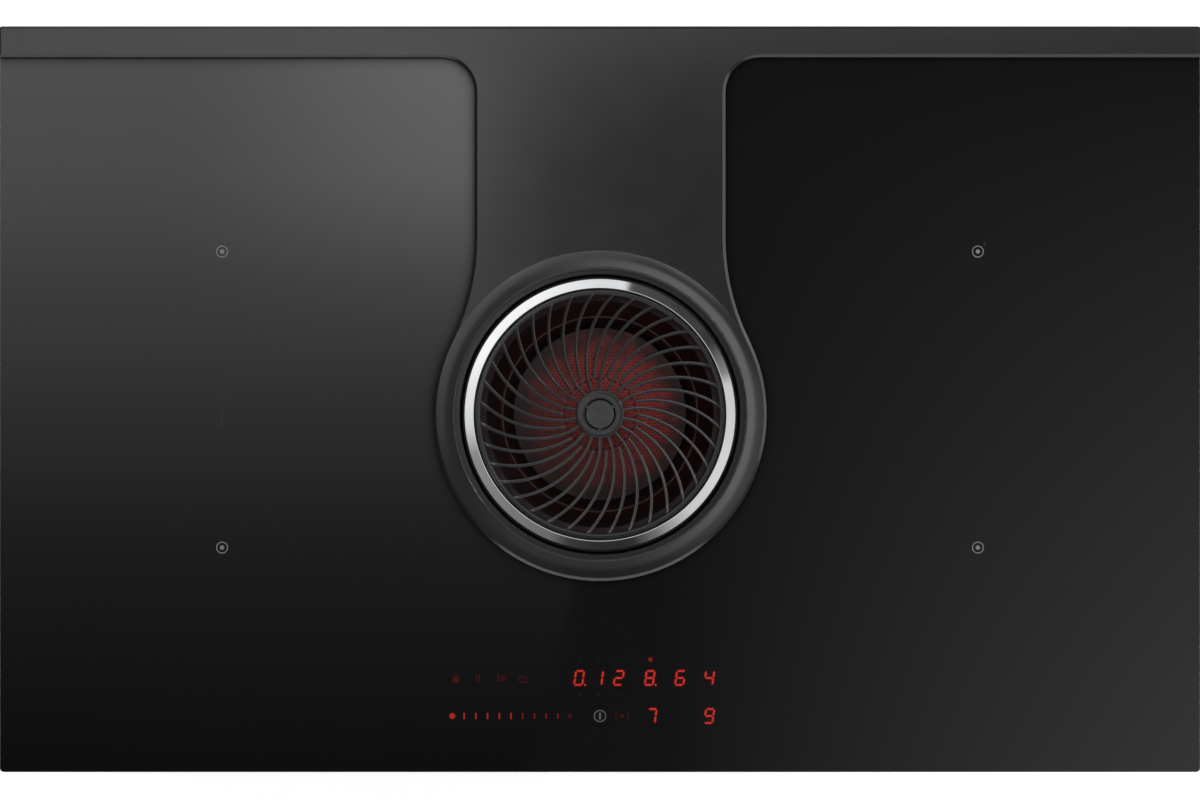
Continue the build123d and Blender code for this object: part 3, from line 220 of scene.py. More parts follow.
# glass-ceramic, ceramised and polished: nearly black, mirror bright, with a faint haze from wiping
def blackGlassCeramic():
    look = {"dark": "#08080a", "light": "#0b0b0c", "patchMm": 140, "smearMm": 70, "grainMm": 90,
            "gloss": (0.02, 0.045), "depthMm": 0.01, "shader": {"IOR": 1.5},
            "paintedShadeMm": 9, "paintedShadeOpen": (0.5, 0.97), "paintedShadeShine": (0.12, 0.5)}
    parts = surface("black glass-ceramic, polished", look)
    # painted shade: beside the frame the glass loses its shine within a few mm, scaled by ambient occlusion
    paintedShade = addNode(parts["tree"], "ShaderNodeAmbientOcclusion",
                   {"samples": 8, "Distance": look["paintedShadeMm"] * mm})
    feed(parts, "Specular IOR Level",
         ranged(parts["tree"], paintedShade.outputs["AO"], *look["paintedShadeOpen"], *look["paintedShadeShine"]))
    return parts["material"]


# painted sheet, drawn into a bowl: dull and dark, so the light stays on the sheet below it. A faint red
# band round the bowl is painted glow, the red light ring's light painted into the bowl's colour. The
# photo has a faint red band in the bowl; whether that is paint or glow can't be told, and here it is
# paint
def filterShellPaint():
    look = {"dark": "#0b0a0a", "light": "#120f0f", "patchMm": 15, "smearMm": 8,
            "gloss": (0.4, 0.55), "grainMm": 0.5, "depthMm": 0.01, "shader": {"IOR": 1.5},
            "bandMm": 68.5, "bandFade": (1, 6), "bandAmount": 0.28, "bandColour": "#4c1a19"}
    parts = surface("drawn sheet, dark paint", look)
    tree = parts["tree"]
    # painted glow: a faint red band round the bowl at 68.5 mm
    off = maths(tree, "SUBTRACT", radiusFrom(tree, parts["place"], suction), look["bandMm"] * mm)
    near, far = look["bandFade"]
    paintedGlow = ranged(tree, maths(tree, "ABSOLUTE", off), near * mm, far * mm, look["bandAmount"], 0.0,
                   smooth=True)
    feed(parts, "Base Color", mixed(tree, paintedGlow, parts["tone"], linear(look["bandColour"])))
    return parts["material"]


# perforated steel sheet, dark red enamel: the web between the holes glints, the holes stay black. The
# red is duller towards the edge, in blotches; painted light and shade make it darker on the left; the
# photo doesn't tell soot from light
def redSheetEnamel():
    look = {"dark": "#8c2826", "light": "#be403a", "patchMm": 5, "smearMm": 5,
            "gloss": (0.25, 0.42), "grainMm": 0.6, "depthMm": 0.01,
            "shader": {"Metallic": 0.35, "IOR": 1.5}, "blotchMm": 9, "frayMm": 34, "edgeMm": (52, 78),
            "edgeAmount": 0.96, "edgeColour": "#1d0d0c", "paintedLightWay": (0.85, 0.5, 0),
            "paintedLightMm": (-45, 40), "paintedLightLevel": (0.5, 1.25)}
    parts = surface("perforated sheet, red enamel", look)
    wornAndLit = edgeWearAndSheen(parts, {"widthMm": 0.15, "colour": "#a4514a", "amount": 0.7})
    tree, place = parts["tree"], parts["place"]
    # the red goes duller towards the edge, in blotches
    blotches = noise(tree, place, look["blotchMm"], 3.0)
    frayed = maths(tree, "MULTIPLY_ADD", blotches.outputs["Fac"], look["frayMm"] * mm,
                   radiusFrom(tree, place, suction))
    near, far = look["edgeMm"]
    edgeDulling = ranged(tree, frayed, near * mm, far * mm, 0.0, look["edgeAmount"], smooth=True)
    # painted light and shade: the red is darker towards the front left and lighter towards the back right
    across = vectorMaths(tree, "DOT_PRODUCT", place, look["paintedLightWay"]).outputs["Value"]
    left, right = look["paintedLightMm"]
    lean = ranged(tree, across, left * mm, right * mm, *look["paintedLightLevel"])
    withPaintedLight = mixed(tree, 1.0, wornAndLit, lean, "MULTIPLY")
    feed(parts, "Base Color", mixed(tree, edgeDulling, withPaintedLight, linear(look["edgeColour"])))
    return parts["material"]


# acrylic light guide, moulded, edge lit: it glows a little unevenly where the diodes sit
def litGuide():
    look = {"dark": "#a01008", "light": "#c01a10", "patchMm": 9, "smearMm": 6,
            "gloss": (0.2, 0.3), "grainMm": 1.2, "depthMm": 0.005,
            "shader": {"IOR": 1.49, "Emission Color": linear("#ff1c0e")}}
    parts = surface("acrylic light guide, red", look)
    lightUp(parts, 0.6, 0.9)
    return parts["material"]


# hot-dip galvanised sheet: zinc crystals of about 9 mm, each with its own grey and its own gloss
def galvanisedSheet():
    look = {"dark": "#83888b", "light": "#9a9ea0", "patchMm": 60, "smearMm": 25,
            "gloss": (0.3, 0.44), "grainMm": 1.5, "depthMm": 0.008, "shader": {"Metallic": 1.0},
            "crystalMm": 9, "warp": 0.004, "bloom": (0.82, 1.08), "sheen": 0.14}
    parts = surface("galvanised sheet", look)
    tree = parts["tree"]
    warp = vectorMaths(tree, "MULTIPLY_ADD", parts["grain"].outputs["Color"], (look["warp"],) * 3,
                       parts["place"])
    crystals = addNode(tree, "ShaderNodeTexVoronoi",
                       {"Scale": 1000 / look["crystalMm"], "Vector": warp.outputs[0]})
    shade = addNode(tree, "ShaderNodeSeparateColor", {"Color": crystals.outputs["Color"]})
    bloom = ranged(tree, shade.outputs[0], 0.0, 1.0, *look["bloom"])
    feed(parts, "Base Color", mixed(tree, 1.0, parts["tone"], bloom, "MULTIPLY"))
    feed(parts, "Roughness", maths(tree, "MULTIPLY_ADD", shade.outputs[1], look["sheen"], parts["gloss"]))
    return parts["material"]


# glass-epoxy laminate with solder mask: glossy green over copper tracks 0.6 mm wide
def circuitBoard():
    look = {"dark": "#0d4229", "light": "#125034", "patchMm": 12, "smearMm": 7,
            "gloss": (0.22, 0.34), "grainMm": 0.4, "depthMm": 0.004, "shader": {"IOR": 1.55}}
    parts = surface("glass-epoxy, green mask", look)
    tree = parts["tree"]
    tracks = addNode(tree, "ShaderNodeTexBrick",
                     {"Scale": 1.0, "Brick Width": 0.019, "Row Height": 0.0024, "Mortar Size": 0.0006,
                      "Vector": parts["place"]})
    feed(parts, "Base Color", mixed(tree, tracks.outputs["Fac"], parts["tone"], linear("#1f7a4a")))
    return parts["material"]


# copper litz, enamelled and wound flat: turns 2.6 mm apart round each coil's own middle
def litzWinding():
    look = {"dark": "#8d4a28", "light": "#b0643a", "patchMm": 4, "smearMm": 2, "gloss": (0.25, 0.4),
            "grainMm": 0.5, "depthMm": 0.03, "shader": {"Metallic": 0.9}, "turnMm": 2.6, "turnDepth": 0.4}
    parts = surface("copper litz, enamelled", look)
    tree = parts["tree"]
    coilLow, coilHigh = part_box("coil_right_rear")
    folded = vectorMaths(tree, "ABSOLUTE", parts["place"])
    away = radiusFrom(tree, folded.outputs[0], (coilLow + coilHigh) / 2)
    turn = maths(tree, "MULTIPLY", away, 2 * math.pi / (look["turnMm"] * mm))
    wave = maths(tree, "SINE", turn)
    feed(parts, "Normal", bumped(tree, wave, look["turnDepth"], parts["relief"]))
    return parts["material"]


# finishes that the shared network, turned lines and lighter edges are enough for, by slot
plainFinishes = {
    # die-cast aluminium, powder coated and rubbed down: dark grey with a shallow orange peel, so that
    # lights in it keep their shape and only lose their edge
    "frame_coat": ("powder coat, fine satin", {
        "dark": "#1b1b1c", "light": "#1f1f20", "patchMm": 35, "smearMm": 18, "gloss": (0.165, 0.195),
        "grainMm": 0.5, "depthMm": 0.004, "shader": {"IOR": 1.5},
        # its edges are painted lighter: partly wear, partly a painted highlight
        "wearAndSheen": {"widthMm": 0.5, "colour": "#6a6a6c", "amount": 0.15}}),
    # chrome plate over a turned ring: takes the whole room's light as bands, with a trace of polishing
    "polished_chrome": ("chrome plate, polished", {
        "dark": "#d2d4d6", "light": "#e0e1e2", "patchMm": 30, "smearMm": 12, "gloss": (0.03, 0.07),
        "grainMm": 4.0, "depthMm": 0.001, "shader": {"Metallic": 1.0},
        "turned": {"pitchMm": 0.25, "depthMm": 0.0006}}),
    # aluminium, turned and anodised dark: satin, with rings that catch a thin light
    "knob_coat": ("aluminium, dark anodised", {
        "dark": "#17171a", "light": "#1f1f22", "patchMm": 20, "smearMm": 9, "gloss": (0.3, 0.4),
        "grainMm": 0.4, "depthMm": 0.004, "shader": {"Metallic": 0.9},
        "turned": {"pitchMm": 0.3, "depthMm": 0.004},
        "wearAndSheen": {"widthMm": 0.3, "colour": "#6a6a6d", "amount": 0.6}}),
    # cast aluminium in the frame's own coat: the coat softens the sand grain and draws a line of light
    # along each rib
    "grille_enamel": ("cast aluminium, satin coat", {
        "dark": "#1b1b1d", "light": "#212123", "patchMm": 12, "smearMm": 6, "gloss": (0.165, 0.2),
        "grainMm": 0.7, "depthMm": 0.006, "shader": {"IOR": 1.5},
        "wearAndSheen": {"widthMm": 0.35, "colour": "#565658", "amount": 0.25}}),
    # polyamide with glass fibre, moulded in a spark-eroded tool: an even matt with a pebbled grain
    "black_polymer": ("polyamide, glass filled", {
        "dark": "#161617", "light": "#1e1e1f", "patchMm": 30, "smearMm": 14, "gloss": (0.48, 0.62),
        "grainMm": 0.8, "depthMm": 0.03, "shader": {"IOR": 1.53},
        "wearAndSheen": {"widthMm": 0.4, "colour": "#3c3c3e", "amount": 0.5}}),
    # ferrite, pressed and sintered: grainy charcoal with chipped corners
    "ferrite": ("ferrite, sintered", {
        "dark": "#26272a", "light": "#35363a", "patchMm": 3, "smearMm": 3, "gloss": (0.45, 0.65),
        "grainMm": 0.35, "depthMm": 0.02, "shader": {"IOR": 2.0},
        "wearAndSheen": {"widthMm": 0.4, "colour": "#5a5b5f", "amount": 0.8}}),
    # acetal, moulded natural: waxy off-white that slides without grease
    "slide_polymer": ("acetal, natural", {
        "dark": "#c9c5b8", "light": "#d6d3c8", "patchMm": 20, "smearMm": 9, "gloss": (0.3, 0.42),
        "grainMm": 0.6, "depthMm": 0.008,
        "shader": {"IOR": 1.48, "Subsurface Weight": 0.1, "Subsurface Scale": 0.001}}),
    # polypropylene with talc, moulded grey: the fan wheel's dull, slightly mottled skin
    "impeller_polymer": ("polypropylene, talc filled", {
        "dark": "#4a4b4d", "light": "#58595b", "patchMm": 18, "smearMm": 10, "gloss": (0.42, 0.55),
        "grainMm": 0.7, "depthMm": 0.02, "shader": {"IOR": 1.49}}),
    # closed-cell foam strip, cut from sheet: small open cells show as pits and swallow the light
    "seal_foam": ("closed-cell foam", {
        "dark": "#1b1b1b", "light": "#262626", "patchMm": 6, "smearMm": 4, "gloss": (0.75, 0.9),
        "grainMm": 0.9, "depthMm": 0.12, "shader": {"IOR": 1.45}}),
    # silicone, pressed: rubbery red-brown with a bloom of dust
    "silicone": ("silicone rubber, pressed", {
        "dark": "#7a3b2c", "light": "#8d4a39", "patchMm": 8, "smearMm": 5, "gloss": (0.5, 0.65),
        "grainMm": 0.5, "depthMm": 0.01, "shader": {"IOR": 1.41}}),
    # steel, zinc plated and passivated: bright, slightly blue, with a fine tooth
    "plated_steel": ("steel, zinc plated", {
        "dark": "#a3a7ab", "light": "#babdc0", "patchMm": 6, "smearMm": 3, "gloss": (0.22, 0.36),
        "grainMm": 0.5, "depthMm": 0.006, "shader": {"Metallic": 1.0}}),
    # cold-rolled spring strip: long rolling lines and a tight, hard shine
    "spring_steel": ("spring steel, rolled", {
        "dark": "#8c8d8f", "light": "#a2a3a5", "patchMm": 10, "smearMm": 6, "gloss": (0.2, 0.32),
        "grainMm": 0.4, "depthMm": 0.004, "stretch": (1, 0.05, 1), "shader": {"Metallic": 1.0}}),
    # aluminium, extruded: die lines along the bar
    "plain_aluminium": ("aluminium, extruded", {
        "dark": "#bfc2c5", "light": "#d2d4d6", "patchMm": 20, "smearMm": 8, "gloss": (0.3, 0.42),
        "grainMm": 0.5, "depthMm": 0.01, "stretch": (1, 0.03, 1), "shader": {"Metallic": 1.0}}),
    # polycarbonate, moulded dark: the frames round the digit modules
    "display_polymer": ("polycarbonate, dark", {
        "dark": "#202022", "light": "#2a2a2c", "patchMm": 9, "smearMm": 5, "gloss": (0.35, 0.5),
        "grainMm": 0.4, "depthMm": 0.006, "shader": {"IOR": 1.58}}),
    # mica paper, pressed with resin: pearly flakes of a few millimetres
    "mica": ("mica paper, pressed", {
        "dark": "#a99b7c", "light": "#c9bd9f", "patchMm": 5, "smearMm": 3, "gloss": (0.25, 0.5),
        "grainMm": 1.2, "depthMm": 0.01, "shader": {"IOR": 1.58}}),
    # aluminium can in a shrunk sleeve: dark blue, smooth, with faint shrink wrinkles
    "capacitor_can": ("shrink sleeve, blue", {
        "dark": "#101a3c", "light": "#17244c", "patchMm": 6, "smearMm": 4, "gloss": (0.2, 0.32),
        "grainMm": 1.6, "depthMm": 0.02, "shader": {"IOR": 1.53}}),
}


def plainFinish(name, look):
    parts = surface(name, look)
    if "turned" in look:
        turnedLines(parts, look["turned"])
    if "wearAndSheen" in look:
        edgeWearAndSheen(parts, look["wearAndSheen"])
    return parts["material"]


finishes = {slotName: plainFinish(*entry) for slotName, entry in plainFinishes.items()}
finishes.update({
    "glass_ceramic": blackGlassCeramic(), "filter_metal": filterShellPaint(),
    "filter_mesh_red": redSheetEnamel(), "galvanised_steel": galvanisedSheet(),
    "board_green": circuitBoard(), "copper_winding": litzWinding(), "red_light": litGuide(),
})
slotOf = {part["node"]: part["material_slot"] for part in frame["record"]["subparts"]}
for name, piece in frame["nodes"].items():
    if not piece.material_slots:
        piece.data.materials.append(None)
    for slot in piece.material_slots:
        slot.material = finishes[slotOf[name]]
print("finishes on", len(slotOf), "nodes")


def newPiece(name, shape, material, body, smooth=True):
    mesh = bpy.data.meshes.new(name)
    shape.to_mesh(mesh)
    shape.free()
    piece = bpy.data.objects.new(name, mesh)
    bpy.context.scene.collection.objects.link(piece)
    mesh.materials.append(material)
    for face in mesh.polygons:
        face.use_smooth = smooth
    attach(piece, body)
    return piece


def skin(shape, rings, closed=False):
    # rings are lists of points of like count; neighbours are joined by quads
    rows = [[shape.verts.new(p) for p in ring] for ring in rings]
    pairs = list(zip(rows, rows[1:])) + ([(rows[-1], rows[0])] if closed else [])
    for first, second in pairs:
        count = len(first)
        for i in range(count):
            j = (i + 1) % count
            shape.faces.new((first[i], first[j], second[j], second[i]))
    if not closed:
        shape.faces.new(list(reversed(rows[0])))
        shape.faces.new(rows[-1])


def turnedShape(shape, outline, steps):
    # outline is a closed list of (radius, height above the glass) in mm, turned about the intake's axis
    rings = []
    for step in range(steps):
        angle = 2 * math.pi * step / steps
        rings.append([(suction.x + r * mm * math.sin(angle), suction.y + r * mm * math.cos(angle),
                       glassTop + z * mm) for r, z in outline])
    skin(shape, rings, closed=True)


def rounded(outline, corners, steps=5):
    # each listed corner of the outline becomes an arc of its radius
    result = []
    count = len(outline)
    for i, point in enumerate(outline):
        here = Vector(point)
        if i not in corners:
            result.append(point)
            continue
        before = (Vector(outline[i - 1]) - here).normalized()
        after = (Vector(outline[(i + 1) % count]) - here).normalized()
        half = before.angle(after) / 2
        reach = corners[i] / math.tan(half)
        centre = here + (before + after).normalized() * (corners[i] / math.sin(half))
        start, end = here + before * reach - centre, here + after * reach - centre
        for step in range(steps + 1):
            share = step / steps
            arm = (start * (1 - share) + end * share).normalized() * corners[i]
            result.append(tuple(centre + arm))
    return result


# grille: a cast rim, a dished hub and 36 ribs that swirl clockwise on their way out, every other one short
grilleSize = {
    "longRibs": 18, "ribWidth": 2.2, "ribHeight": 6.0, "crown": 0.5, "shortStart": 25.0,
    "twist": 0.3663, "twistGrowth": 0.00147, "hubRise": -5.0, "rimRise": 4.6, "sag": 0.36,
    "ribStart": 8.4, "ribEnd": 83.65, "flareStart": 78.5, "flareRise": 1.3, "noseDrop": 2.2, "stations": 34,
    "rimOuter": 85.8, "rimInner": 81.5, "rimTop": 6.0, "rimLow": -2.0,
    "hubRadius": 16.8, "hubTop": -3.6, "hubDepth": 8.0, "wellRadius": 10.8, "wellDepth": 2.0,
}


def swirl(radius):
    run = max(radius - grilleSize["shortStart"], 0)
    return math.radians(grilleSize["twist"] * run + grilleSize["twistGrowth"] * run ** 2)


def ribPoint(radius, turn):
    angle = swirl(radius) + turn
    return Vector((suction.x + radius * mm * math.sin(angle), suction.y + radius * mm * math.cos(angle)))


def ribTop(radius):
    size = grilleSize
    share = (radius - size["ribStart"]) / (size["ribEnd"] - size["ribStart"])
    rise = (size["rimRise"] - size["hubRise"]) * (size["sag"] * share + (1 - size["sag"]) * share ** 2)
    flare = max(radius - size["flareStart"], 0) / (size["ribEnd"] - size["flareStart"])
    return size["hubRise"] + rise + size["flareRise"] * flare ** 2


def addRib(shape, start, turn, tipped):
    size = grilleSize
    half = size["ribWidth"] / 2
    rings = []
    for station in range(size["stations"]):
        share = station / (size["stations"] - 1)
        radius = start + (size["ribEnd"] - start) * (share ** 1.5 if tipped else share)
        here, ahead = ribPoint(radius, turn), ribPoint(radius + 0.2, turn)
        along = (ahead - here).normalized()
        side = Vector((-along.y, along.x))
        reach = radius - start
        close = min(reach / half, 1) if tipped else 1
        width = half * max(math.sqrt(1 - (1 - close) ** 2), 0.12)   # a round nose on the short ribs
        top = ribTop(radius) - (1 - width / half) * size["noseDrop"]
        ring = []
        for step in range(9):      # the crown, from one flank over the top to the other
            angle = math.pi * step / 8
            ring.append((width * math.cos(angle), top - size["crown"] * (1 - math.sin(angle) ** 0.6)))
        ring += [(-width * 0.8, top - size["ribHeight"] + 0.4), (-width * 0.5, top - size["ribHeight"]),
                 (width * 0.5, top - size["ribHeight"]), (width * 0.8, top - size["ribHeight"] + 0.4)]
        rings.append([(here.x + side.x * s * mm, here.y + side.y * s * mm, glassTop + z * mm)
                      for s, z in ring])
    skin(shape, rings)


def makeGrille():
    size = grilleSize
    shape = bmesh.new()
    for index in range(size["longRibs"]):
        turn = 2 * math.pi * index / size["longRibs"]
        addRib(shape, size["hubRadius"] - 2, turn, False)
        addRib(shape, size["shortStart"], turn + math.pi / size["longRibs"], True)
    rim = [(size["rimOuter"], size["rimLow"]), (size["rimOuter"], size["rimTop"]),
           (size["rimInner"] + 1.6, size["rimTop"]), (size["rimInner"], size["rimTop"] - 2.2),
           (size["rimInner"], size["rimLow"])]
    turnedShape(shape, rounded(rim, {0: 0.3, 1: 0.9, 2: 0.8, 3: 0.8, 4: 0.3}), 180)
    low = size["hubTop"] - size["hubDepth"]
    hub = [(size["wellRadius"], size["hubTop"] - size["wellDepth"]), (size["wellRadius"], size["hubTop"]),
           (size["hubRadius"], size["hubTop"]), (size["hubRadius"], low), (0.4, low),
           (0.4, size["hubTop"] - size["wellDepth"])]
    turnedShape(shape, rounded(hub, {1: 0.25, 2: 1.2, 3: 0.6}), 96)
    bmesh.ops.recalc_face_normals(shape, faces=shape.faces)
    piece = newPiece("grille_casting", shape, finishes["grille_enamel"], "grille")
    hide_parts("grille")
    return piece


grilleCasting = makeGrille()
print("grille:", len(grilleCasting.data.polygons), "faces")


# filter sheet: holes in rows 2.5 mm apart, and one ring of larger holes
sheetSize = {"radius": 60.5, "pitch": 2.5, "hole": 0.8, "thickness": 0.8, "edge": 1.6,
             "ringRadius": 25.0, "ringCount": 36, "ringHole": 1.2, "ringGap": 2.2,
             "packRadius": 59.0, "packThickness": 0.4}


def makeSheet():
    size = sheetSize
    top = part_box("filter_mesh")[1].z
    loops = [[(size["radius"] * math.cos(a), size["radius"] * math.sin(a))
              for a in (2 * math.pi * i / 180 for i in range(180))]]
    rings = []
    for index in range(size["ringCount"]):
        angle = 2 * math.pi * (index + 0.5) / size["ringCount"]
        rings.append((size["ringRadius"] * math.sin(angle), size["ringRadius"] * math.cos(angle)))
    loops += [[(x + size["ringHole"] * math.cos(a), y + size["ringHole"] * math.sin(a))
               for a in (2 * math.pi * i / 12 for i in range(12))] for x, y in rings]
    rowStep = size["pitch"] * math.sqrt(3) / 2
    rows = int(size["radius"] / rowStep) + 1
    for row in range(-rows, rows + 1):
        for column in range(-rows - 6, rows + 7):
            x = (column + (row % 2) / 2) * size["pitch"]
            y = row * rowStep
            far = math.hypot(x, y)
            if far > size["radius"] - size["edge"]:
                continue
            if abs(far - size["ringRadius"]) < size["ringGap"]:
                continue
            loops.append([(x + size["hole"] * math.cos(a), y + size["hole"] * math.sin(a))
                          for a in (math.pi * (2 * i + 1) / 6 for i in range(6))])
    points, edges, loopOf = [], [], []
    for number, loop in enumerate(loops):
        first = len(points)
        points += [Vector(p) for p in loop]
        edges += [(first + i, first + (i + 1) % len(loop)) for i in range(len(loop))]
        loopOf += [number] * len(loop)
    found = delaunay_2d_cdt(points, edges, [], 1, 1e-5)
    shape = bmesh.new()
    verts = [shape.verts.new((suction.x + p.x * mm, suction.y + p.y * mm, top)) for p in found[0]]
    source = [loopOf[came[0]] for came in found[3]]
    for face in found[2]:
        owners = {source[i] for i in face}
        if len(owners) > 1 or owners == {0}:    # a face with all its corners on one hole would fill it
            shape.faces.new([verts[i] for i in face])
    front = list(shape.faces)
    back = bmesh.ops.extrude_face_region(shape, geom=front)
    moved = [v for v in back["geom"] if isinstance(v, bmesh.types.BMVert)]
    bmesh.ops.translate(shape, verts=moved, vec=(0, 0, -size["thickness"] * mm))
    bmesh.ops.recalc_face_normals(shape, faces=shape.faces)
    piece = newPiece("filter_sheet", shape, finishes["filter_mesh_red"], "filter",
                     smooth=False)
    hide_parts("filter_mesh")
    # a dark disc lies against the sheet from below, painted shade so that its holes look black
    shape = bmesh.new()
    high = (top - glassTop) / mm - size["thickness"]
    low = high - size["packThickness"]
    turnedShape(shape, [(0.2, low), (0.2, high), (size["packRadius"], high), (size["packRadius"], low)], 96)
    bmesh.ops.recalc_face_normals(shape, faces=shape.faces)
    newPiece("hole_shade_disc", shape, finishes["filter_metal"], "filter", smooth=False)
    return piece


filterSheet = makeSheet()
print("filter sheet:", len(filterSheet.data.polygons), "faces")


# prints and lights in the glass are thin prisms that stand a few hundredths of a millimetre proud
printHeight = 0.03


def prism(shape, outline, low=-0.05, high=printHeight):
    # outline is a list of (x, y) in mm from the plate's middle
    rings = [[(x * mm, y * mm, glassTop + z * mm) for x, y in outline] for z in (low, high)]
    skin(shape, rings)


def band(shape, centre, outer, inner, first=0, sweep=360, steps=48):
    # a flat ring or part of one, angles clockwise from the back
    whole = sweep == 360
    count = steps if whole else max(int(steps * sweep / 360), 3)
    rings = []
    for step in range(count if whole else count + 1):
        angle = math.radians(first + sweep * step / count)
        across = ((inner, -0.05), (outer, -0.05), (outer, printHeight), (inner, printHeight))
        rings.append([((centre[0] + r * math.sin(angle)) * mm, (centre[1] + r * math.cos(angle)) * mm,
                       glassTop + z * mm) for r, z in across])
    skin(shape, rings, closed=whole)


def spot(shape, centre, radius, steps=20):
    prism(shape, [(centre[0] + radius * math.cos(2 * math.pi * i / steps),
                   centre[1] + radius * math.sin(2 * math.pi * i / steps)) for i in range(steps)])


def bar(shape, centre, width, height, lean=0.0):
    x, y = centre
    w, h = width / 2, height / 2
    slip = math.tan(math.radians(lean)) * h
    prism(shape, [(x - w - slip, y - h), (x + w - slip, y - h), (x + w + slip, y + h),
                  (x - w + slip, y + h)])


# seven-segment digits lean 8 degrees; a segment is a bar with pointed ends
digitSize = {"width": 5.6, "height": 9.6, "stroke": 1.15, "gap": 0.22, "lean": 8.0}
segmentsOf = {"0": "abcdef", "1": "bc", "2": "abged", "4": "fgbc", "6": "afgedc", "7": "abc",
              "8": "abcdefg", "9": "abfgcd"}


def addDigit(shape, digit, centre, grow=0.0):
    size = digitSize
    w, h, s = size["width"] / 2, size["height"] / 2, size["stroke"] / 2 + grow
    ends = {"a": ((-w, h), (w, h)), "b": ((w, h), (w, 0)), "c": ((w, 0), (w, -h)),
            "d": ((-w, -h), (w, -h)), "e": ((-w, -h), (-w, 0)), "f": ((-w, 0), (-w, h)),
            "g": ((-w, 0), (w, 0))}
    slope = math.tan(math.radians(size["lean"]))
    for segment in segmentsOf[digit]:
        start, end = (Vector(p) for p in ends[segment])
        along = (end - start).normalized()
        side = Vector((-along.y, along.x)) * s
        start, end = start + along * (size["gap"] - grow), end - along * (size["gap"] - grow)
        points = [start, start + along * s + side, end - along * s + side, end,
                  end - along * s - side, start + along * s - side]
        prism(shape, [(centre[0] + p.x + p.y * slope, centre[1] + p.y) for p in points],
              high=printHeight - (0.01 if grow else 0))


# ceramic print, fired into the glass: dull and dense, so it breaks the mirror
def ceramicPrint(name, dark, light):
    look = {"dark": dark, "light": light, "patchMm": 3, "smearMm": 2, "gloss": (0.4, 0.55),
            "grainMm": 0.3, "depthMm": 0.004, "shader": {"IOR": 1.5}}
    return surface(name, look)["material"]


# diodes behind the glass: the same mirror on top, and a light that is a little uneven within each bar
def diodeLight(name, colour, weak, strong):
    look = {"dark": "#0a0606", "light": "#120808", "patchMm": 6, "smearMm": 20, "gloss": (0.02, 0.045),
            "grainMm": 1.4, "depthMm": 0.0005,
            "shader": {"IOR": 1.5, "Emission Color": linear(colour)}}
    parts = surface(name, look)
    lightUp(parts, weak, strong)
    return parts["material"]


def newPrint(name, shape, dark, light, kind):
    newPiece(name, shape, ceramicPrint(kind, dark, light), "root", smooth=False)


def newLight(name, shape, kind, colour, weak, strong):
    newPiece(name, shape, diodeLight(kind, colour, weak, strong), "root", smooth=False)


printSize = {"zoneX": 261.2, "zoneY": 102.3, "ringOuter": 4.1, "ringInner": 3.45, "dot": 1.5,
             "lineX": -261.4, "lineWidth": 1.2, "lineRear": (4.4, 20.3), "lineFront": (-19.7, -5.8)}
panel = {
    "rearRow": -192.4, "frontRow": -218.7, "dotRow": -180.6, "underRow": -204.2,
    "rearDigits": (("0", -14.4), ("1", -1.2), ("2", 13.0), ("8", 34.4), ("6", 55.4), ("4", 75.5)),
    "frontDigits": (("7", 35.7), ("9", 75.5)), "pointAfter": (-14.4, 34.4),
    "sliderStart": -93.9, "sliderPitch": 8.1, "sliderCount": 9, "sliderDot": -102.1,
    "powerRadius": 4.3, "lockX": -99.6, "pauseX": -84.4, "levelX": -68.5, "potX": -53.3,
    "frameX": 15.2, "litCount": 5, "lampX": 34.9, "timerX": (-13.8, -0.7, 13.1), "blockX": -21.0,
}


def makePrints():
    size = printSize
    shape = bmesh.new()
    for sideX in (-1, 1):
        for sideY in (-1, 1):
            centre = (sideX * size["zoneX"], sideY * size["zoneY"])
            band(shape, centre, size["ringOuter"], size["ringInner"])
            spot(shape, centre, size["dot"])
    newPrint("zone_marks", shape, "#707172", "#7d7e7f", "ceramic print, light grey")
    shape = bmesh.new()
    for low, high in (size["lineRear"], size["lineFront"]):
        bar(shape, (size["lineX"], (low + high) / 2), size["lineWidth"], high - low)
    for sideX in (-1, 1):
        bar(shape, (sideX * size["zoneX"] + 4.7, size["zoneY"] + 5.3), 1.0, 2.0, 20)
    newPrint("bridge_lines", shape, "#0a0a0a", "#101010", "ceramic print, black")
    shape = bmesh.new()
    centre = (0.0, panel["frontRow"])
    band(shape, centre, panel["powerRadius"], panel["powerRadius"] - 0.8)
    bar(shape, centre, 1.5, 4.4)
    newPrint("power_mark", shape, "#4c4d4e", "#575859", "ceramic print, pale grey")


def addDigits(shape, grow):
    for digit, x in panel["rearDigits"]:
        addDigit(shape, digit, (x, panel["rearRow"]), grow)
    for digit, x in panel["frontDigits"]:
        addDigit(shape, digit, (x, panel["frontRow"]), grow)


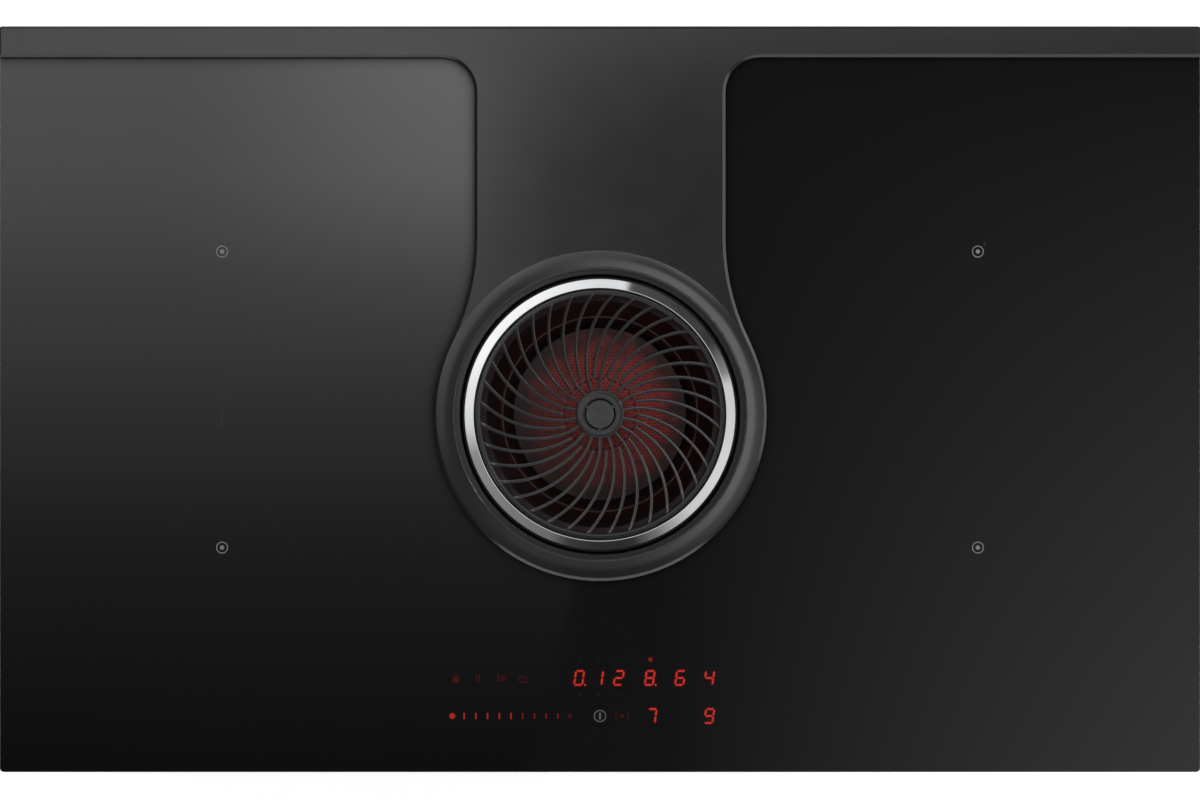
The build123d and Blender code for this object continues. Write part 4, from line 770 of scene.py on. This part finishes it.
def makeDisplay():
    shape = bmesh.new()
    addDigits(shape, 0.0)
    for x in panel["pointAfter"]:
        spot(shape, (x + 4.1, panel["rearRow"] - 4.9), 0.7)
    newLight("display_digits", shape, "diodes, bright red", "#ff4436", 0.42, 0.64)
    shape = bmesh.new()
    addDigits(shape, 0.75)
    newLight("display_halo", shape, "diodes, spill", "#ff1206", 0.05, 0.08)
    shape = bmesh.new()
    spot(shape, (panel["sliderDot"], panel["frontRow"]), 2.1)
    for index in range(panel["litCount"]):
        bar(shape, (panel["sliderStart"] + index * panel["sliderPitch"], panel["frontRow"]), 1.0, 4.4)
    newLight("slider_marks", shape, "diodes, middling red", "#f03a2c", 0.28, 0.44)
    shape = bmesh.new()
    spot(shape, (panel["lampX"], panel["dotRow"] + 0.9), 1.6)
    for index in range(panel["litCount"], panel["sliderCount"]):
        bar(shape, (panel["sliderStart"] + index * panel["sliderPitch"], panel["frontRow"]), 0.9,
            4.4 - 0.2 * (index - 4))
    newLight("slider_rest", shape, "diodes, fading red", "#e02a1c", 0.18, 0.3)
    shape = bmesh.new()
    rear = panel["rearRow"]
    band(shape, (panel["lockX"], rear + 1.2), 1.9, 1.3, -90, 180)
    bar(shape, (panel["lockX"], rear - 1.2), 4.4, 3.4)
    for offset in (-1.0, 1.0):
        bar(shape, (panel["pauseX"] + offset, rear), 0.9, 4.6)
        bar(shape, (panel["levelX"] + 1.4, rear + offset * 1.5), 3.4, 0.7)
        bar(shape, (panel["frameX"] + offset * 4.2, panel["frontRow"]), 0.6, 5.0)
    bar(shape, (panel["levelX"] - 1.8, rear), 1.0, 4.8)
    bar(shape, (panel["levelX"] + 1.4, rear), 3.4, 0.7)
    band(shape, (panel["potX"], rear - 0.2), 3.2, 2.6, 100, 160)
    bar(shape, (panel["potX"], rear + 0.4), 6.6, 0.6)
    spot(shape, (panel["frameX"], panel["frontRow"]), 1.2)
    for x in panel["timerX"]:
        spot(shape, (x, panel["dotRow"]), 0.55)
        bar(shape, (x, panel["underRow"]), 1.6, 0.7)
    bar(shape, (panel["blockX"], panel["frontRow"]), 2.6, 2.4)
    newLight("dim_symbols", shape, "diodes, dim red", "#d0281e", 0.06, 0.11)


makePrints()
makeDisplay()
print("prints and display made")


# studio: a wide card overhead is what the glass mirrors, a ring of light round it is what the chrome shows
studio = {
    "cardHeight": 2.3, "cardSide": 2.0, "cardBack": 1.0, "cardFront": 0.62,
    "leftPeak": 1.82, "rightBase": 0.1, "rightRise": 0.72,
    "leftFade": [(0.0, 0.03), (0.07, 0.047), (0.18, 0.079), (0.285, 0.12), (0.36, 0.178),
                 (0.43, 0.265), (0.5, 0.346), (0.554, 0.44), (0.66, 0.586), (0.72, 0.715),
                 (0.8, 0.87), (0.93, 1.0)],
    "edgeRun": [(0.0, 0.262), (0.255, 0.417), (0.35, 0.307), (0.65, 0.139), (0.8, 0.12), (0.9, 0.16),
                (0.95, 0.3), (0.965, 0.74), (1.0, 0.8)],
    "barLeft": (1.6, 1.15), "barRight": (0.7, 0.5), "backPatch": (2.2, 4.4), "hubGlow": 2.3,
    "worldZenith": 0.22, "worldLean": (0.2, 0.2), "horizon": (0.12, 0.26),
    "keyPlace": (2.5, 0.4, 1.55), "keySize": (2.4, 0.7), "keyPower": 9,
    "glintPlace": (1.65, 0.95, 1.32), "glintSize": (0.25, 0.25), "glintPower": 5,
    "frontPlace": (0.0, -2.6, 1.72), "frontSize": (4.0, 0.9), "frontPower": 25,
    "rearPlace": (-1.35, 2.9, 1.64), "rearSize": (2.4, 0.8), "rearPower": 5.4,
    "floorColour": "#f2f2f2", "floorGlow": 0.6, "floorHalf": 6.0, "floorGap": 0.0004, "worldLeast": 0.05,
}
# where the card's fields begin and end, as shares of half the plate seen in it; hubPatch is in mm
cardField = {
    "inward": (-0.75, -0.2), "inwardGain": 0.62, "rear": (0.0, 0.7), "strip": (0.915, 0.935),
    "barLeft": (-1.0, -0.35), "barRight": (0.2, 1.0), "outward": (0.1, 1.0), "slant": (-0.5, 0.25),
    "edge": 0.012, "behind": (1.25, 1.45), "backPatch": (-0.9, -0.1), "hubPatch": (38, 66),
}


def stageMesh(name, points, faces):
    mesh = bpy.data.meshes.new(name)
    mesh.from_pydata(points, [], faces)
    piece = bpy.data.objects.new(name, mesh)
    bpy.context.scene.collection.objects.link(piece)
    return piece


def makeCard():
    # the card fades from the back to the front on the left, grows to the front right, and a slanted
    # edge parts the two fields
    field = cardField
    height = glassTop + studio["cardHeight"]
    x, back, front = studio["cardSide"], studio["cardBack"], -studio["cardFront"]
    card = stageMesh("card", [(-x, front, height), (x, front, height), (x, back, height),
                              (-x, back, height)], [(3, 2, 1, 0)])
    card.visible_camera = False
    material, tree = bareMaterial("overhead card")
    spread = 1 + studio["cardHeight"] / cameraHeight
    place = coordinate(tree, "Object")
    scaled = vectorMaths(tree, "MULTIPLY", place,
                         (1 / spread / plateHigh.x, 1 / spread / plateHigh.y, 0))
    split = addNode(tree, "ShaderNodeSeparateXYZ", {0: scaled.outputs[0]})
    u, v = split.outputs[0], split.outputs[1]
    depth = ranged(tree, v, -1.0, 1.0)
    inward = ranged(tree, u, *field["inward"], 0.0, field["inwardGain"], smooth=True)
    rear = ranged(tree, v, *field["rear"], smooth=True)
    lit = maths(tree, "MULTIPLY", stopped(tree, depth, studio["leftFade"]),
                maths(tree, "MULTIPLY_ADD", inward, rear, 1.0))
    full = maths(tree, "MULTIPLY", lit, studio["leftPeak"])
    # a strip along the back, above the frame's bar, has its own even levels
    strip = ranged(tree, v, *field["strip"], smooth=True)
    barLeft = ranged(tree, u, *field["barLeft"], *studio["barLeft"])
    left = mixedLevel(tree, strip, full, barLeft)
    slope = maths(tree, "MULTIPLY", ranged(tree, u, *field["outward"]), ranged(tree, v, 1.0, -1.0))
    dusk = maths(tree, "MULTIPLY_ADD", slope, studio["rightRise"], studio["rightBase"])
    barRight = ranged(tree, u, *field["barRight"], *studio["barRight"])
    right = mixedLevel(tree, strip, dusk, barRight)
    # the edge between the fields runs to the right as it goes back, apart from a bend over the tongue
    slant = maths(tree, "MULTIPLY_ADD", stopped(tree, depth, studio["edgeRun"]), *field["slant"])
    edge = ranged(tree, maths(tree, "ADD", u, slant), -field["edge"], field["edge"], smooth=True)
    level = mixedLevel(tree, edge, left, right)
    # behind the plate's own mirror image the card is bright: the front ribs, dished towards it, find it
    behind = ranged(tree, v, *field["behind"], smooth=True)
    widened = mixedLevel(tree, behind, level, ranged(tree, u, *field["backPatch"], *studio["backPatch"]))
    # straight above the intake a soft round patch, which only the hub finds
    near, far = field["hubPatch"]
    patch = ranged(tree, radiusFrom(tree, place, suction * spread), near * mm * spread,
                   far * mm * spread, studio["hubGlow"], 0.0, smooth=True)
    glow = addNode(tree, "ShaderNodeEmission",
                   {"Color": (1, 1, 1, 1), "Strength": maths(tree, "ADD", widened, patch)})
    addNode(tree, "ShaderNodeOutputMaterial", {"Surface": glow.outputs[0]})
    card.data.materials.append(material)


# two rings of light round the card, each as inner and outer radius in metres and its brightness round
# the turn; the shares of a turn run from the front clockwise, so 0.5 is the back. The chrome face shows
# the inner ring, the collar's slope and the ribs show the outer one, which stands for the key light
ringLights = {
    "inner_ring": {
        "radii": (1.14, 1.56),
        "stops": [(0.0, 0.035), (0.04, 0.06), (0.06, 0.2), (0.2, 0.35), (0.235, 0.9), (0.33, 1.3),
                  (0.43, 1.25), (0.5, 1.0), (0.534, 1.0), (0.536, 0.1), (0.6, 0.06), (0.66, 0.05),
                  (0.7, 0.3), (0.715, 0.8), (0.83, 0.9), (0.88, 0.8), (0.93, 0.22), (0.96, 0.035)]},
    "outer_ring": {
        "radii": (1.6, 2.5),
        "stops": [(0.0, 0.4), (0.083, 0.6), (0.167, 0.3), (0.25, 0.3), (0.417, 0.45), (0.46, 0.9),
                  (0.5, 1.7), (0.583, 2.7), (0.75, 2.7), (0.84, 2.6), (0.917, 1.2), (0.97, 0.45)]},
}


def makeRingLight(name):
    steps, height = 96, glassTop + studio["cardHeight"] - 0.03
    points, faces = [], []
    for step in range(steps):
        angle = 2 * math.pi * step / steps
        for radius in ringLights[name]["radii"]:
            points.append((suction.x + radius * math.sin(angle), suction.y + radius * math.cos(angle),
                           height))
        a, b = 2 * step, 2 * ((step + 1) % steps)
        faces.append((a, a + 1, b + 1, b))
    ringLight = stageMesh(name, points, faces)
    ringLight.visible_camera = False
    material, tree = bareMaterial("ring of light")
    moved = vectorMaths(tree, "SUBTRACT", coordinate(tree, "Object"), tuple(suction))
    split = addNode(tree, "ShaderNodeSeparateXYZ", {0: moved.outputs[0]})
    turn = maths(tree, "ARCTAN2", split.outputs[0], split.outputs[1])
    share = ranged(tree, turn, -math.pi, math.pi)
    glow = addNode(tree, "ShaderNodeEmission",
                   {"Color": stopped(tree, share, ringLights[name]["stops"])})
    addNode(tree, "ShaderNodeOutputMaterial", {"Surface": glow.outputs[0]})
    ringLight.data.materials.append(material)


def makeFloor():
    half, low = studio["floorHalf"], cadLow.z - studio["floorGap"]
    floor = stageMesh("floor", [(-half, -half, low), (half, -half, low), (half, half, low),
                                (-half, half, low)], [(0, 1, 2, 3)])
    material, tree = bareMaterial("pale studio floor")
    path = addNode(tree, "ShaderNodeLightPath", {})
    seen = maths(tree, "MAXIMUM", path.outputs["Is Camera Ray"], path.outputs["Is Glossy Ray"])
    through = maths(tree, "MAXIMUM", seen, path.outputs["Is Transmission Ray"])
    shader = addNode(tree, "ShaderNodeBsdfPrincipled",
                     {"Base Color": linear(studio["floorColour"]), "Roughness": 0.9,
                      "Emission Color": (1, 1, 1, 1),
                      "Emission Strength": maths(tree, "MULTIPLY", through, studio["floorGlow"])})
    addNode(tree, "ShaderNodeOutputMaterial", {"Surface": shader.outputs[0]})
    floor.data.materials.append(material)


def makeWorld():
    world = bpy.data.worlds.new("studio")
    world.use_nodes = True
    tree = world.node_tree
    tree.nodes.clear()
    path = addNode(tree, "ShaderNodeLightPath", {})
    seen = maths(tree, "MAXIMUM", path.outputs["Is Camera Ray"], path.outputs["Is Transmission Ray"])
    across = addNode(tree, "ShaderNodeSeparateXYZ", {0: coordinate(tree, "Generated")})
    # mirrors also find the white backdrop, which stands up from the floor to a little above the plate
    low = ranged(tree, across.outputs[2], *studio["horizon"], 1.0, 0.0, smooth=True)
    white = maths(tree, "MAXIMUM", seen, maths(tree, "MULTIPLY", path.outputs["Is Glossy Ray"], low))
    # the room is lighter towards the back right, where the lamp stands
    sideways = maths(tree, "MULTIPLY_ADD", across.outputs[0], studio["worldLean"][0],
                     studio["worldZenith"])
    room = maths(tree, "MULTIPLY_ADD", across.outputs[1], studio["worldLean"][1], sideways)
    level = mixedLevel(tree, white, maths(tree, "MAXIMUM", room, studio["worldLeast"]), 1.0)
    back = addNode(tree, "ShaderNodeBackground", {"Color": (1, 1, 1, 1), "Strength": level})
    addNode(tree, "ShaderNodeOutputWorld", {"Surface": back.outputs[0]})
    bpy.context.scene.world = world


def makeLamp(name):
    data = bpy.data.lights.new(name, "AREA")
    data.shape = "RECTANGLE"
    data.size, data.size_y = studio[name + "Size"]
    data.energy = studio[name + "Power"]
    lamp = bpy.data.objects.new(name, data)
    lamp.location = studio[name + "Place"]
    aim = Vector((0, 0, glassTop)) - lamp.location
    lamp.rotation_euler = aim.to_track_quat("-Z", "Y").to_euler()
    bpy.context.scene.collection.objects.link(lamp)


makeCard()
for name in ringLights:
    makeRingLight(name)
makeFloor()
makeWorld()
makeLamp("key")      # low, from the right, for the edges that face that way
makeLamp("glint")    # small and hard, for the sparks on ribs and edges
makeLamp("front")    # a low softbox that draws the front edges of frame and collar
makeLamp("rear")     # its dimmer partner behind the left half
print("studio built")
